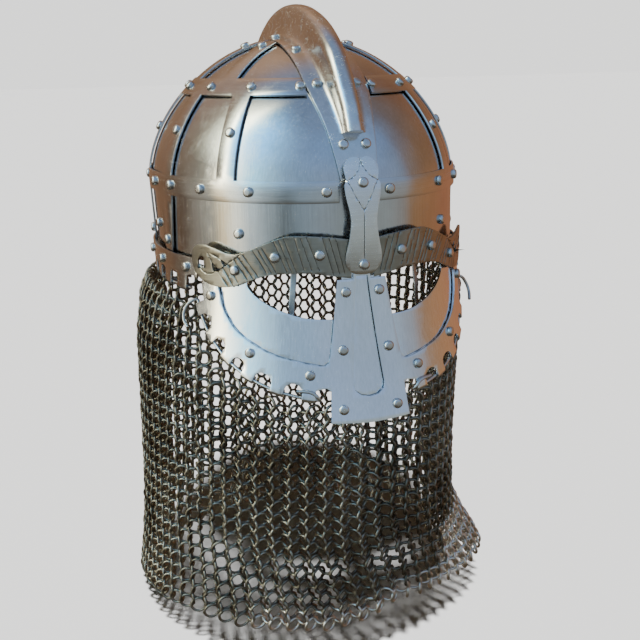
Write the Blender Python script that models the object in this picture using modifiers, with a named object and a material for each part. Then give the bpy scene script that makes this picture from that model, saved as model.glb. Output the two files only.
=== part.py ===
"""A Viking-age spectacle helmet: riveted openwork over a raised bowl, a spectacle mask and a mail curtain.

Blender units are metres, +Z is up, the wearer faces -Y and has the left hand at +X. The origin is the inside
of the crown, where the bowl rests on a head.

The tables below are in millimetres. A height in them is measured from the centre line of the middle band. A
place on the helmet is given by its angle from the nose line and its height, or, for the plates of the face,
by the flat pattern that the plate is cut to: across from the nose line, and height.
"""

import math

import bmesh
import bpy
from mathutils import Vector

MM = 0.001

# The bowl.
HALF_WIDTH = 105.0  # outer face, at the middle band
HALF_LENGTH = 126.0
RISE = 92.0  # from the middle band to the top of the bowl
CROWN_POWER = 1.7  # 2 is an ellipsoid, and less gives a more pointed crown
BOWL_SHEET = 1.6
BOWL_EDGE = -60.0
BOWL_EDGE_OVER_FACE = -47.0
TUCK = 3.0  # how far the sides draw in from the middle band to the bowl's edge

# The plates over it. A layer is the height of a sheet's middle over the bowl's outer face.
SHEET = 1.3
FIRST_LAYER = 1.5
SECOND_LAYER = 3.45
THIRD_LAYER = 5.2
FOURTH_LAYER = 6.9

# The angles at which the face's plates end and the side's band begins.
FACE_END = 60.0
SIDE_START = 95.0
PATTERN_RADIUS = 120.0  # a flat pattern is bent round at this radius

# The openwork.
STRAP_WIDTH = 13.5
UPPER_BAND = (55.5, 65.5)
MIDDLE_BAND = (-7.0, 6.2)
MIDDLE_STRAPS = (45.0, 74.0, 100.0, 135.0)
UPPER_STRAPS = (57.0, 90.0, 124.0)
LOWER_STRAPS = (74.0, 100.0, 135.0)
LOWER_STRAP_LEAN = 2.0  # degrees that they run back between the middle band and their feet
FRAME_FRONT = 6.8
FRAME_BACK = 173.2
FRAME_END_ACROSS = 21.4  # where the upper band and straps stop beside the comb

# The rim band, its tabs and the wires through them.
RIM_START = 57.2
RIM_BAND = (-45.0, -58.0)
RIM_TAB_END = -65.5
RIM_TABS = 24
TAB_WIDTH = 8.2
TAB_NOTCH = 7.6
TAB_NOTCH_SIDE = (0.05, 4.6)  # its shoulders: a share of the way across the notch, and their depth
TAB_ARC_CENTRE = (20.0, -50.0)  # the mask's tabs stand along an ellipse in its flat pattern
TAB_ARC_AXES = (104.5, 78.0)
TAB_ANGLES = (21.1, 34.4, 46.0, 57.0, 68.8, 80.0)  # cut by eye, so their spacing varies a little
ROLL_RADIUS = 1.95
ROLL_ANGLE = 280.0
WIRE_RADIUS = 0.9
RIM_WIRE_END = 3.0  # how far the wires stand out past their last tabs
MASK_WIRE_END = 2.5

RIVET_RADIUS = 3.3
RIVET_TOP_RADIUS = 1.9
RIVET_HEIGHT = 1.7
RIVET_SIDES = 5
RIVET_SEAT = 1.0  # how far the head sinks into its sheet

MAIL_WALL = 4.5


# Places ------------------------------------------------------------------------------------------------


def ease(value):
    """0 below 0, 1 above 1, and a smooth step between."""
    value = min(max(value, 0.0), 1.0)
    return value * value * (3.0 - 2.0 * value)


def shrink(z):
    """The bowl's width at a height, as a share of its width at the middle band."""
    return math.sqrt(max(0.0, 1.0 - (max(z, 0.0) / RISE) ** CROWN_POWER))


def flare(z):
    """How far the mask stands out from the bowl's wall below the eyes' upper edge."""
    below = max(0.0, (-50.0 - z) / 90.0)
    return 10.0 * below + 7.0 * below**2


def growth(t, z):
    """What the wall below the middle band adds to the bowl's half width and half length."""
    side = ease((abs(t) - FACE_END) / (SIDE_START - FACE_END))
    depth = min(max(z / BOWL_EDGE, 0.0), 1.0)
    return flare(z) * (1.0 - side) - TUCK * side * depth


def outward(t, z):
    """The direction away from the bowl at an angle and a height."""
    t = (t + 180.0) % 360.0 - 180.0
    turn = math.radians(t)
    grown = growth(t, z) if z < 0.0 else 0.0
    x = math.sin(turn) * shrink(z) / (HALF_WIDTH + grown)
    y = -math.cos(turn) * shrink(z) / (HALF_LENGTH + grown)
    up = 0.5 * CROWN_POWER * (max(z, 0.0) / RISE) ** (CROWN_POWER - 1.0) / RISE
    return Vector((x, y, up)).normalized()


def skin(t, z, lift):
    """The place at an angle and a height, lifted off the bowl's outer face, in metres."""
    t = (t + 180.0) % 360.0 - 180.0
    turn = math.radians(t)
    grown = growth(t, z) if z < 0.0 else 0.0
    x = (HALF_WIDTH + grown) * shrink(z) * math.sin(turn)
    y = -(HALF_LENGTH + grown) * shrink(z) * math.cos(turn)
    drop = RISE - BOWL_SHEET
    return (Vector((x, y, z - drop)) + lift * outward(t, z)) * MM


def pattern_angle(across):
    return math.degrees(across / PATTERN_RADIUS)


def bend(across, z, lift):
    """The place on the face of a point of a flat pattern."""
    return skin(pattern_angle(across), z, lift)


def strap_edge(t, z, side):
    """The angle of a strap's edge at a height: side is -1 or 1, or 0 for its centre line."""
    turn = math.radians(t)
    reach = math.hypot(HALF_WIDTH * math.cos(turn), HALF_LENGTH * math.sin(turn)) * shrink(z)
    return t + side * math.degrees(0.5 * STRAP_WIDTH / reach)


# Building ----------------------------------------------------------------------------------------------


def clear_scene():
    for item in list(bpy.data.objects):
        bpy.data.objects.remove(item, do_unlink=True)


def new_collection(name):
    collection = bpy.data.collections.new(name)
    bpy.context.scene.collection.children.link(collection)
    return collection


def new_material(name, color, roughness, metallic):
    material = bpy.data.materials.new(name)
    material.use_nodes = True
    shader = material.node_tree.nodes["Principled BSDF"]
    shader.inputs["Base Color"].default_value = (*color, 1.0)
    shader.inputs["Roughness"].default_value = roughness
    shader.inputs["Metallic"].default_value = metallic
    return material


def new_object(name, bm, collection, material=None):
    """The object made of a bmesh's faces, shaded smooth but for its sharp edges."""
    bmesh.ops.recalc_face_normals(bm, faces=bm.faces)
    mesh = bpy.data.meshes.new(name)
    bm.to_mesh(mesh)
    bm.free()
    mesh.shade_smooth()
    mesh.set_sharp_from_angle(angle=math.radians(35.0))
    item = bpy.data.objects.new(name, mesh)
    collection.objects.link(item)
    if material:
        mesh.materials.append(material)
    return item


def thicken(item, sheet):
    """Gives an open surface its thickness, half on each side."""
    modifier = item.modifiers.new("Sheet", "SOLIDIFY")
    modifier.thickness = sheet * MM
    modifier.offset = 0.0
    modifier.use_even_offset = True


def surface(columns, rows, kept, place):
    """A grid with a line of points for each column and each row, without the cells that aren't kept."""
    bm = bmesh.new()
    across = len(columns) - 1
    up = len(rows) - 1
    bmesh.ops.create_grid(bm, x_segments=across, y_segments=up, size=0.5)
    cut = []
    for face in bm.faces:
        centre = face.calc_center_median()
        column = int((centre.x + 0.5) * across)
        row = int((centre.y + 0.5) * up)
        if not kept(column, row):
            cut.append(face)
    for vert in bm.verts:
        column = columns[round((vert.co.x + 0.5) * across)]
        row = rows[round((vert.co.y + 0.5) * up)]
        vert.co = place(column, row)
    bmesh.ops.delete(bm, geom=cut, context="FACES")
    bmesh.ops.remove_doubles(bm, verts=bm.verts, dist=1e-6)
    return bm


def flat_pattern(outline, holes, slices, levels):
    """A filled outline with its holes, cut across at the slices and the levels so that it can be bent."""
    curve = bpy.data.curves.new("pattern", "CURVE")
    curve.dimensions = "2D"
    curve.fill_mode = "BOTH"
    for points in (outline, *holes):
        spline = curve.splines.new("POLY")
        spline.points.add(len(points) - 1)
        for point, (across, z) in zip(spline.points, points):
            point.co = (across, z, 0.0, 1.0)
        spline.use_cyclic_u = True
    sketch = bpy.data.objects.new("pattern", curve)
    bpy.context.scene.collection.objects.link(sketch)
    graph = bpy.context.evaluated_depsgraph_get()
    mesh = bpy.data.meshes.new_from_object(sketch.evaluated_get(graph))
    bm = bmesh.new()
    bm.from_mesh(mesh)
    bpy.data.meshes.remove(mesh)
    bpy.data.objects.remove(sketch, do_unlink=True)
    bmesh.ops.remove_doubles(bm, verts=bm.verts, dist=1e-3)
    bmesh.ops.dissolve_limit(bm, angle_limit=0.01, verts=bm.verts, edges=bm.edges)
    for across in slices:
        cut_flat(bm, (across, 0.0, 0.0), (1.0, 0.0, 0.0))
    for z in levels:
        cut_flat(bm, (0.0, z, 0.0), (0.0, 1.0, 0.0))
    bmesh.ops.triangulate(bm, faces=bm.faces)
    return bm


def cut_flat(bm, point, normal):
    everything = [*bm.verts, *bm.edges, *bm.faces]
    bmesh.ops.bisect_plane(bm, geom=everything, dist=0.05, plane_co=point, plane_no=normal)


def both_sides(half):
    """A closed outline from its right half, which runs from the top of the nose line to its foot."""
    other = [(-across, z) for across, z in reversed(half) if across > 0.0]
    return [*half, *other]


def mirrored(points):
    return [(-across, z) for across, z in reversed(points)]


def bend_all(bm, lift):
    for vert in bm.verts:
        vert.co = bend(vert.co.x, vert.co.y, lift)


def roll(bm, edges, down):
    """Rolls a tab's end inward round the place of its wire."""
    ends = {vert for edge in edges for vert in edge.verts}
    middle = sum((vert.co for vert in ends), Vector()) / len(ends)
    along = max((a.co - b.co for a in ends for b in ends), key=lambda span: span.length).normalized()
    out = down.cross(along).normalized()
    if out.dot(Vector((middle.x, middle.y, 0.0))) < 0.0:
        out.negate()
    centre = middle - out * ROLL_RADIUS * MM
    geom = [*edges, *ends]
    axis = out.cross(down)
    turn = math.radians(ROLL_ANGLE)
    bmesh.ops.spin(bm, geom=geom, cent=centre, axis=axis, angle=turn, steps=4, use_duplicate=False)


def wire(name, points, collection, material):
    """A round wire through the points, closed at both ends."""
    curve = bpy.data.curves.new(name, "CURVE")
    curve.dimensions = "3D"
    curve.bevel_depth = WIRE_RADIUS * MM
    curve.bevel_resolution = 0
    curve.use_fill_caps = True
    spline = curve.splines.new("POLY")
    spline.points.add(len(points) - 1)
    for point, place in zip(spline.points, points):
        point.co = (*place, 1.0)
    item = bpy.data.objects.new(name, curve)
    collection.objects.link(item)
    curve.materials.append(material)
    return item


def rivet(item, spots, cutters):
    """Joins a rivet head to an object at each (place, direction)."""
    bm = bmesh.new()
    for place, direction in spots:
        head = bmesh.ops.create_cone(
            bm,
            cap_ends=True,
            segments=RIVET_SIDES,
            radius1=RIVET_RADIUS * MM,
            radius2=RIVET_TOP_RADIUS * MM,
            depth=(RIVET_HEIGHT + RIVET_SEAT) * MM,
        )
        turn = direction.to_track_quat("Z", "Y").to_matrix()
        centre = place + direction * 0.5 * (RIVET_HEIGHT - RIVET_SEAT) * MM
        bmesh.ops.rotate(bm, verts=head["verts"], matrix=turn)
        bmesh.ops.translate(bm, verts=head["verts"], vec=centre)
    heads = new_object(item.name + "_rivet_heads", bm, cutters)
    heads.hide_render = True
    heads.display_type = "WIRE"
    union = item.modifiers.new("Rivets", "BOOLEAN")
    union.operation = "UNION"
    union.solver = "EXACT"
    union.object = heads


def spots_on(places, lift):
    """Rivet spots for (angle, height) places on the outer face of a sheet."""
    return [(skin(t, z, lift + 0.5 * SHEET), outward(t, z)) for t, z in places]


def pattern_spots(places, lift):
    return spots_on([(pattern_angle(across), z) for across, z in places], lift)


# The bowl ----------------------------------------------------------------------------------------------

BOWL_COLUMNS = 32
BOWL_DOME_ROWS = 8
BOWL_FACE_CUT = FACE_END + 2.0  # the angle where the bowl's edge steps up over the face
BOWL_RIVETS = ((41.0, -26.8), (88.0, -30.0), (-41.0, -26.8), (-88.0, -30.0))


def dome_height(share):
    """The height at a share of the way up the bowl's curve, from the middle band to the crown."""
    return RISE * math.sin(0.5 * math.pi * share) ** (2.0 / CROWN_POWER)


def build_bowl(parts, cutters, material):
    columns = [360.0 * i / BOWL_COLUMNS for i in range(BOWL_COLUMNS + 1)]
    rows = [BOWL_EDGE, BOWL_EDGE_OVER_FACE]
    rows += [dome_height(i / BOWL_DOME_ROWS) for i in range(BOWL_DOME_ROWS + 1)]

    def kept(column, row):
        middle = 0.5 * (columns[column] + columns[column + 1])
        over_face = min(middle, 360.0 - middle) < BOWL_FACE_CUT
        return row > 0 or not over_face

    def place(t, z):
        return skin(t, z, -0.5 * BOWL_SHEET)

    bowl = new_object("skull_bowl", surface(columns, rows, kept, place), parts, material)
    thicken(bowl, BOWL_SHEET)
    spots = [(skin(t, z, 0.0), outward(t, z)) for t, z in BOWL_RIVETS]
    rivet(bowl, spots, cutters)


# The openwork over the bowl, one sheet for each side ---------------------------------------------------

# Its rows: a height, and which straps stand between it and the next one.
FRAME_ROWS = (
    (-47.0, LOWER_STRAPS),
    (-27.0, LOWER_STRAPS),
    (MIDDLE_BAND[0], None),
    (MIDDLE_BAND[1], MIDDLE_STRAPS),
    (20.0, MIDDLE_STRAPS),
    (33.0, MIDDLE_STRAPS),
    (45.0, MIDDLE_STRAPS),
    (UPPER_BAND[0], None),
    (UPPER_BAND[1], UPPER_STRAPS),
    (75.0, UPPER_STRAPS),
    (83.0, UPPER_STRAPS),
    (88.3, UPPER_STRAPS),
    (91.6, ()),
)
FRAME_FILL = (15.5, 24.5, 33.0, 65.5, 112.0, 147.0, 155.5, 164.5)  # columns between the straps
FRAME_CUT_FROM = 50.5  # the height above which the sheet is cut straight beside the comb
UPPER_BAND_RIVETS = (18.0, 41.5, 66.0, 90.0, 113.0, 138.0, 162.0)
MIDDLE_BAND_RIVETS = (11.0, 36.4, 55.0, 71.0, 84.6, 108.0, 125.0, 144.0, 169.0)


def strap_lean(z):
    """How far round the straps below the middle band stand from its own ones, in degrees."""
    fall = MIDDLE_BAND[0] - FRAME_ROWS[0][0]
    return LOWER_STRAP_LEAN * max(0.0, MIDDLE_BAND[0] - z) / fall


def frame_columns():
    """The columns as (angle, side, upper): a strap's two edges, or one line of points between straps."""
    columns = [(t, 0, False) for t in (FRAME_FRONT, *FRAME_FILL, FRAME_BACK)]
    for t in MIDDLE_STRAPS:
        columns += [(t, -1, False), (t, 1, False)]
    for t in UPPER_STRAPS:
        columns += [(t, -1, True), (t, 1, True)]
    return sorted(columns, key=lambda column: column[0] + 3.0 * column[1])


def build_frame(name, hand, parts, cutters, material):
    columns = frame_columns()
    heights = [z for z, _ in FRAME_ROWS]
    straps_of = [straps for _, straps in FRAME_ROWS]

    def kept(column, row):
        if straps_of[row] is None:
            return True
        t, side, _ = columns[column]
        return side == -1 and t in straps_of[row]

    def place(column, z):
        t, side, upper = column
        level = max(z, UPPER_BAND[0]) if upper else min(z, UPPER_BAND[0])
        return skin(hand * (strap_edge(t, level, side) + strap_lean(z)), z, FIRST_LAYER)

    bm = surface(columns, heights, kept, place)
    high = (FRAME_CUT_FROM - RISE) * MM
    near = [face for face in bm.faces if min(vert.co.z for vert in face.verts) > high]
    geom = list({part for face in near for part in (face, *face.edges, *face.verts)})
    line = (hand * FRAME_END_ACROSS * MM, 0.0, 0.0)
    side = (hand, 0.0, 0.0)
    bmesh.ops.bisect_plane(bm, geom=geom, dist=1e-6, plane_co=line, plane_no=side, clear_inner=True)
    frame = new_object(name, bm, parts, material)
    thicken(frame, SHEET)
    places = [(t, 60.5) for t in UPPER_BAND_RIVETS]
    places += [(t, 0.0) for t in MIDDLE_BAND_RIVETS]
    places += [(t, 33.7) for t in MIDDLE_STRAPS]
    places += [(t + strap_lean(-37.5), -37.5) for t in LOWER_STRAPS]
    places += [(t, 85.5) for t in UPPER_STRAPS]
    rivet(frame, spots_on([(hand * t, z) for t, z in places], FIRST_LAYER), cutters)


# The comb over the middle, with its hollow ridge -------------------------------------------------------

# Stations along the comb's line over the bowl, from the front (0 at the middle band, 90 at the crown, 180 at
# the back): half width of the flange, half width of the ridge and its height.
COMB_STATIONS = (
    (5.6, 11.5, 5.0, 0.0),
    (15.0, 13.2, 5.0, 0.0),
    (23.6, 14.8, 5.0, 0.0),
    (25.2, 15.2, 5.0, 8.0),
    (31.0, 16.5, 5.4, 10.4),
    (38.0, 18.5, 5.9, 12.2),
    (46.0, 20.3, 6.2, 15.0),
    (54.0, 20.5, 6.3, 17.8),
    (63.0, 20.5, 6.3, 19.3),
    (73.0, 20.5, 6.3, 20.0),
    (84.0, 20.5, 6.3, 20.8),
    (95.0, 20.5, 6.3, 21.5),
    (106.0, 20.5, 6.3, 22.0),
    (117.0, 20.5, 6.3, 22.1),
    (127.0, 20.3, 6.2, 21.4),
    (136.0, 19.4, 6.0, 19.2),
    (144.0, 18.0, 5.7, 15.8),
    (150.5, 16.4, 5.4, 12.2),
    (154.8, 15.2, 5.0, 8.4),
    (156.4, 14.8, 5.0, 0.0),
    (165.0, 13.2, 5.0, 0.0),
    (174.4, 11.5, 5.0, 0.0),
)
COMB_RIVETS = (
    (20.4, 7.3),
    (46.0, 13.2),
    (67.5, 14.5),
    (88.0, 16.0),
    (111.5, 15.5),
    (134.0, 13.5),
    (159.6, 7.3),
)
# The ridge's section: a share of its half width, and how far below its top.
RIDGE_SHOULDER = (0.62, 0.9)
RIDGE_SIDE = (0.95, 3.6)
RIDGE_WAIST = 0.28  # the share of its height where its side turns into the fillet
RIDGE_WAIST_OUT = 0.5
FILLET = 5.0  # from the foot of the ridge's side to the flat of the flange
DROP_TRIES = 8
DROP_RATE = 55.0  # millimetres down for a place one unit outside the bowl's equation


def over_line(v):
    """The height and the reach of the comb's line at a station, on the bowl's outer face."""
    turn = math.radians(v)
    return dome_height(1.0 - abs(90.0 - v) / 90.0), -HALF_LENGTH * math.cos(turn)


def comb_place(v, across, lift):
    """The place beside the comb's line: across from it, dropped onto the bowl, and lifted off it."""
    z, y = over_line(v)
    up = outward(0.0 if v < 90.0 else 180.0, z)
    drop = 0.0
    for _ in range(DROP_TRIES):
        point = Vector((across, y, z)) - drop * up
        inside = (point.x / HALF_WIDTH) ** 2 + (point.y / HALF_LENGTH) ** 2
        inside += (max(point.z, 0.0) / RISE) ** CROWN_POWER - 1.0
        drop += inside * DROP_RATE
    point = Vector((across, y, z)) + (lift - drop) * up
    return Vector((point.x, point.y, point.z - RISE + BOWL_SHEET)) * MM


def comb_section(flange, ridge, height):
    """(across, height) from the middle of the ridge to the flange's edge."""
    if height == 0.0:
        return [(share * flange, 0.0) for share in (0.0, 0.25, 0.4, 0.5, 0.65, 1.0)]
    return [
        (0.0, height),
        (RIDGE_SHOULDER[0] * ridge, height - RIDGE_SHOULDER[1]),
        (RIDGE_SIDE[0] * ridge, height - RIDGE_SIDE[1]),
        (ridge + RIDGE_WAIST_OUT, RIDGE_WAIST * height),
        (ridge + FILLET, 0.0),
        (flange, 0.0),
    ]


def build_comb(parts, cutters, material):
    sections = []
    for v, flange, ridge, height in COMB_STATIONS:
        half = comb_section(flange, ridge, height)
        line = [(-across, up) for across, up in reversed(half[1:])] + half
        sections.append([(v, across, up + FIRST_LAYER) for across, up in line])
    columns = list(range(len(sections[0])))
    bm = surface(columns, sections, lambda column, row: True, lambda i, section: comb_place(*section[i]))
    comb = new_object("comb_crest", bm, parts, material)
    thicken(comb, SHEET)
    spots = []
    for v, across in COMB_RIVETS:
        for side in (-1.0, 1.0):
            place = comb_place(v, side * across, FIRST_LAYER + 0.5 * SHEET)
            foot = comb_place(v, side * across, 0.0)
            spots.append((place, tilt_across(foot, place, side * across)))
    rivet(comb, spots, cutters)


def tilt_across(foot, place, across):
    """The direction away from the bowl beside the comb's line."""
    up = (place - foot).normalized()
    return (up + Vector((across / HALF_WIDTH, 0.0, 0.0))).normalized()


# The rim band ------------------------------------------------------------------------------------------

RIM_RIVETS = (62.5, 80.3, 100.0, 120.0, 140.0, 160.0, 180.0)
RIM_RIVET_HEIGHT = -52.0


def rim_columns():
    """The angles where the band's tabs and notches end. A notch stands at each end of the band."""
    cells = 2 * RIM_TABS + 1
    span = (360.0 - 2.0 * RIM_START) / cells
    return [RIM_START + span * i for i in range(cells + 1)]


def build_rim(parts, cutters, material):
    columns = rim_columns()
    rows = [RIM_TAB_END, RIM_BAND[1], RIM_BAND[0]]

    def kept(column, row):
        return row > 0 or column % 2 == 1

    def place(t, z):
        return skin(t, z, SECOND_LAYER)

    bm = surface(columns, rows, kept, place)
    lowest = min(vert.co.z for vert in bm.verts) + 1e-6
    ends = [edge for edge in bm.edges if all(vert.co.z < lowest for vert in edge.verts)]
    for edge in ends:
        roll(bm, [edge], Vector((0.0, 0.0, -1.0)))
    rim = new_object("rim_band", bm, parts, material)
    thicken(rim, SHEET)
    places = [(side * t, RIM_RIVET_HEIGHT) for t in RIM_RIVETS[:-1] for side in (-1.0, 1.0)]
    places.append((RIM_RIVETS[-1], RIM_RIVET_HEIGHT))
    rivet(rim, spots_on(places, SECOND_LAYER), cutters)


def build_rim_wire(parts, material):
    tabs = rim_columns()[1:-1]
    points = []
    for start, end in zip(tabs[::2], tabs[1::2]):
        out = outward(0.5 * (start + end), RIM_TAB_END)
        for t in (start, end):
            points.append(skin(t, RIM_TAB_END, SECOND_LAYER) - out * ROLL_RADIUS * MM)
    first = points[0] + (points[0] - points[1]).normalized() * RIM_WIRE_END * MM
    last = points[-1] + (points[-1] - points[-2]).normalized() * RIM_WIRE_END * MM
    wire("rim_wire", [first, *points, last], parts, material)


# The nasal strip and the brows -------------------------------------------------------------------------

NASAL_HALF = (
    (0.0, 16.9),
    (3.2, 18.0),
    (7.6, 17.4),
    (11.0, 14.6),
    (11.8, 11.4),
    (10.6, 5.6),
    (12.1, 3.2),
    (11.4, -3.0),
    (9.3, -11.5),
    (8.6, -19.5),
    (10.0, -29.0),
    (12.2, -39.0),
    (11.4, -45.4),
    (7.0, -50.0),
    (0.0, -51.0),
)
NASAL_LEVELS = (-6.0, 0.0, 6.5, 12.0)
NASAL_RIVETS = ((0.0, 4.5), (0.0, -44.7))

BROW = (
    (8.0, -29.0),
    (24.0, -27.0),
    (47.0, -26.0),
    (60.0, -29.5),
    (73.0, -34.7),
    (82.0, -38.3),
    (90.2, -39.3),
    (100.8, -36.6),
    (112.3, -34.5),
    (119.0, -37.8),
    (121.2, -45.0),
    (118.8, -53.0),
    (111.7, -58.0),
    (101.2, -60.6),
    (90.0, -60.0),
    (78.8, -56.2),
    (61.7, -50.8),
    (41.3, -49.3),
    (27.6, -50.4),
    (8.0, -53.4),
)
BROW_HOLES = (
    ((112.4, -42.0), (115.8, -45.5), (114.5, -49.7), (111.4, -50.8), (109.2, -49.7), (110.8, -46.0)),
    ((101.6, -45.3), (103.4, -49.0), (102.5, -51.5), (98.5, -49.9)),
    ((95.0, -43.0), (95.5, -45.0), (93.2, -47.4), (91.9, -45.5)),
)
BROW_RIVETS = ((28.7, -38.0), (57.7, -39.4), (86.0, -49.0))
FACE_SLICES = (15.0, 31.0, 47.0, 63.0, 79.0, 94.0, 107.0, 116.5)


def build_nasal_strip(parts, cutters, material):
    bm = flat_pattern(both_sides(NASAL_HALF), (), (-6.5, 0.0, 6.5), NASAL_LEVELS)
    bend_all(bm, FOURTH_LAYER)
    strip = new_object("nasal_strip", bm, parts, material)
    thicken(strip, SHEET)
    rivet(strip, pattern_spots(NASAL_RIVETS, FOURTH_LAYER), cutters)


def build_brow(name, hand, parts, cutters, material):
    outline = BROW if hand > 0 else mirrored(BROW)
    holes = BROW_HOLES if hand > 0 else [mirrored(hole) for hole in BROW_HOLES]
    slices = [hand * across for across in FACE_SLICES]
    bm = flat_pattern(outline, holes, slices, ())
    bend_all(bm, THIRD_LAYER)
    brow = new_object(name, bm, parts, material)
    thicken(brow, SHEET)
    places = [(hand * across, z) for across, z in BROW_RIVETS]
    rivet(brow, pattern_spots(places, THIRD_LAYER), cutters)


# The mask: an under plate with the eye openings, and the frame over it ---------------------------------

UNDER_PLATE_AXES = (91.5, 68.0)  # its outer edge is an ellipse round the centre of the tabs' one
UNDER_PLATE_ANGLES = (-6, 79, 12)
UNDER_PLATE_TOP = -41.0
UNDER_PLATE_NOSE = ((30.0, -115.0), (20.0, -118.0), (20.0, -133.5), (0.0, -134.0))
EYE = (
    (14.0, -47.5),
    (60.0, -47.5),
    (74.0, -51.0),
    (79.5, -57.5),
    (75.5, -63.5),
    (66.0, -69.5),
    (53.0, -74.6),
    (36.0, -78.4),
    (14.0, -79.2),
)
FRAME_TOP_HALF = (
    (0.0, -46.5),
    (6.0, -46.5),
    (6.0, -54.4),
    (17.4, -54.4),
    (20.6, -78.4),
    (24.0, -101.5),
    (26.0, -106.0),
    (30.5, -107.0),
    (48.7, -103.5),
    (64.7, -99.0),
    (83.8, -89.0),
    (92.0, -80.5),
    (97.0, -72.5),
    (101.2, -58.5),
    (110.0, -57.0),
    (114.8, -58.8),
    (113.8, -64.0),
    (112.0, -71.0),
)
FRAME_FOOT_HALF = ((33.4, -121.8), (27.0, -120.6), (24.2, -122.5), (25.0, -142.0), (0.0, -143.0))
TONGUE_HALF = ((0.0, -52.4), (4.4, -52.4), (10.4, -119.0), (9.4, -123.2), (5.4, -126.3), (0.0, -127.3))
MASK_LEVELS = (-62.0, -80.0, -98.0, -114.0, -128.0)
MASK_RIVETS = ((11.9, -62.0), (15.5, -97.6), (17.2, -133.8), (36.7, -112.3), (75.1, -100.1), (106.0, -67.3))


def tab_arc(angle, axes):
    turn = math.radians(angle)
    return (TAB_ARC_CENTRE[0] + axes[0] * math.cos(turn), TAB_ARC_CENTRE[1] - axes[1] * math.sin(turn))


def mask_tabs():
    """Each tab's middle, its direction along the arc and its direction outward, in the flat pattern."""
    tabs = []
    wide, deep = TAB_ARC_AXES
    for angle in TAB_ANGLES:
        turn = math.radians(angle)
        along = Vector((-wide * math.sin(turn), -deep * math.cos(turn)))
        out = Vector((deep * math.cos(turn), -wide * math.sin(turn))).normalized()
        tabs.append((Vector(tab_arc(angle, TAB_ARC_AXES)), along.normalized(), out))
    return tabs


def tab_ends():
    half = 0.5 * TAB_WIDTH
    return [(middle - half * along, middle + half * along) for middle, along, _ in mask_tabs()]


def tab_outline():
    """The flat outline along the mask's tabs, with an arched notch between each two."""
    tabs = mask_tabs()
    ends = tab_ends()
    points = []
    for i, (start, end) in enumerate(ends):
        points += [tuple(start), tuple(end)]
        if i + 1 == len(ends):
            break
        out = (tabs[i][2] + tabs[i + 1][2]).normalized()
        nearer = ends[i + 1][0]
        share, deep = TAB_NOTCH_SIDE
        points.append(tuple(end.lerp(nearer, share) - deep * out))
        points.append(tuple(end.lerp(nearer, 0.5) - TAB_NOTCH * out))
        points.append(tuple(end.lerp(nearer, 1.0 - share) - deep * out))
    return points


def build_mask_plate(parts, material):
    half = [(0.0, UNDER_PLATE_TOP)]
    half += [tab_arc(angle, UNDER_PLATE_AXES) for angle in range(*UNDER_PLATE_ANGLES)]
    half[1] = (half[1][0], UNDER_PLATE_TOP)
    half += UNDER_PLATE_NOSE
    slices = [side * across for across in (0.0, *FACE_SLICES[:-2]) for side in (-1.0, 1.0)][1:]
    bm = flat_pattern(both_sides(half), (EYE, mirrored(EYE)), slices, MASK_LEVELS)
    bend_all(bm, FIRST_LAYER)
    plate = new_object("mask_plate", bm, parts, material)
    thicken(plate, SHEET)


def build_mask_frame(parts, cutters, material):
    outline = both_sides([*FRAME_TOP_HALF, *tab_outline(), *FRAME_FOOT_HALF])
    slices = [side * across for across in (0.0, *FACE_SLICES[:-2]) for side in (-1.0, 1.0)][1:]
    bm = flat_pattern(outline, (both_sides(TONGUE_HALF),), slices, MASK_LEVELS)
    ends = []
    for side in (1.0, -1.0):
        for (start, end), (_, _, out) in zip(tab_ends(), mask_tabs()):
            a = Vector((side * start.x, start.y))
            b = Vector((side * end.x, end.y))
            ends.append((edges_on(bm, a, b), (side * out.x, out.y), (a + b) / 2.0))
    bend_all(bm, SECOND_LAYER)
    for edges, out, middle in ends:
        tip = bend(middle.x + out[0], middle.y + out[1], SECOND_LAYER)
        down = (tip - bend(middle.x, middle.y, SECOND_LAYER)).normalized()
        roll(bm, edges, down)
    frame = new_object("mask_frame", bm, parts, material)
    thicken(frame, SHEET)
    places = [(side * across, z) for across, z in MASK_RIVETS for side in (-1.0, 1.0)]
    rivet(frame, pattern_spots(places, SECOND_LAYER), cutters)


def edges_on(bm, a, b):
    """The edges of a flat pattern that lie on the line from a to b."""
    along = (b - a).normalized()

    def on_line(vert):
        step = vert.co.xy - a
        aside = abs(step.x * along.y - step.y * along.x)
        return aside < 1e-3 and -1e-3 < step.dot(along) < (b - a).length + 1e-3

    return [edge for edge in bm.edges if all(on_line(vert) for vert in edge.verts)]


# The wire's bent ends: across, height and lift.
WIRE_OUTER = ((120.5, -89.0, 8.6), (124.4, -84.0, 8.8), (125.0, -77.5, 7.4), (122.5, -73.0, 4.6))
WIRE_HOOK = ((32.2, -126.0, 4.6), (35.5, -122.8, 5.4), (45.0, -121.6, 5.4))


def build_mask_wire(name, hand, parts, material):
    """The wire through a side's tabs, hooked over the plate beside the nose and bent out at the side."""
    points = []
    for (start, end), (middle, _, out) in zip(tab_ends(), mask_tabs()):
        a, b = (bend(hand * place.x, place.y, SECOND_LAYER) for place in (start, end))
        tip = bend(hand * (middle.x + out.x), middle.y + out.y, SECOND_LAYER)
        down = (tip - bend(hand * middle.x, middle.y, SECOND_LAYER)).normalized()
        off = down.cross(b - a).normalized()
        if off.dot(Vector((a.x, a.y, 0.0))) < 0.0:
            off.negate()
        points += [a - off * ROLL_RADIUS * MM, b - off * ROLL_RADIUS * MM]
    first = points[0] + (points[0] - points[1]).normalized() * MASK_WIRE_END * MM
    last = points[-1] + (points[-1] - points[-2]).normalized() * MASK_WIRE_END * MM
    outer = [bend(hand * place[0], place[1], place[2]) for place in WIRE_OUTER]
    hook = [bend(hand * place[0], place[1], place[2]) for place in WIRE_HOOK]
    wire(name, [*outer, first, *points, last, *hook], parts, material)


# The upright bar behind each eye -----------------------------------------------------------------------

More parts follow.
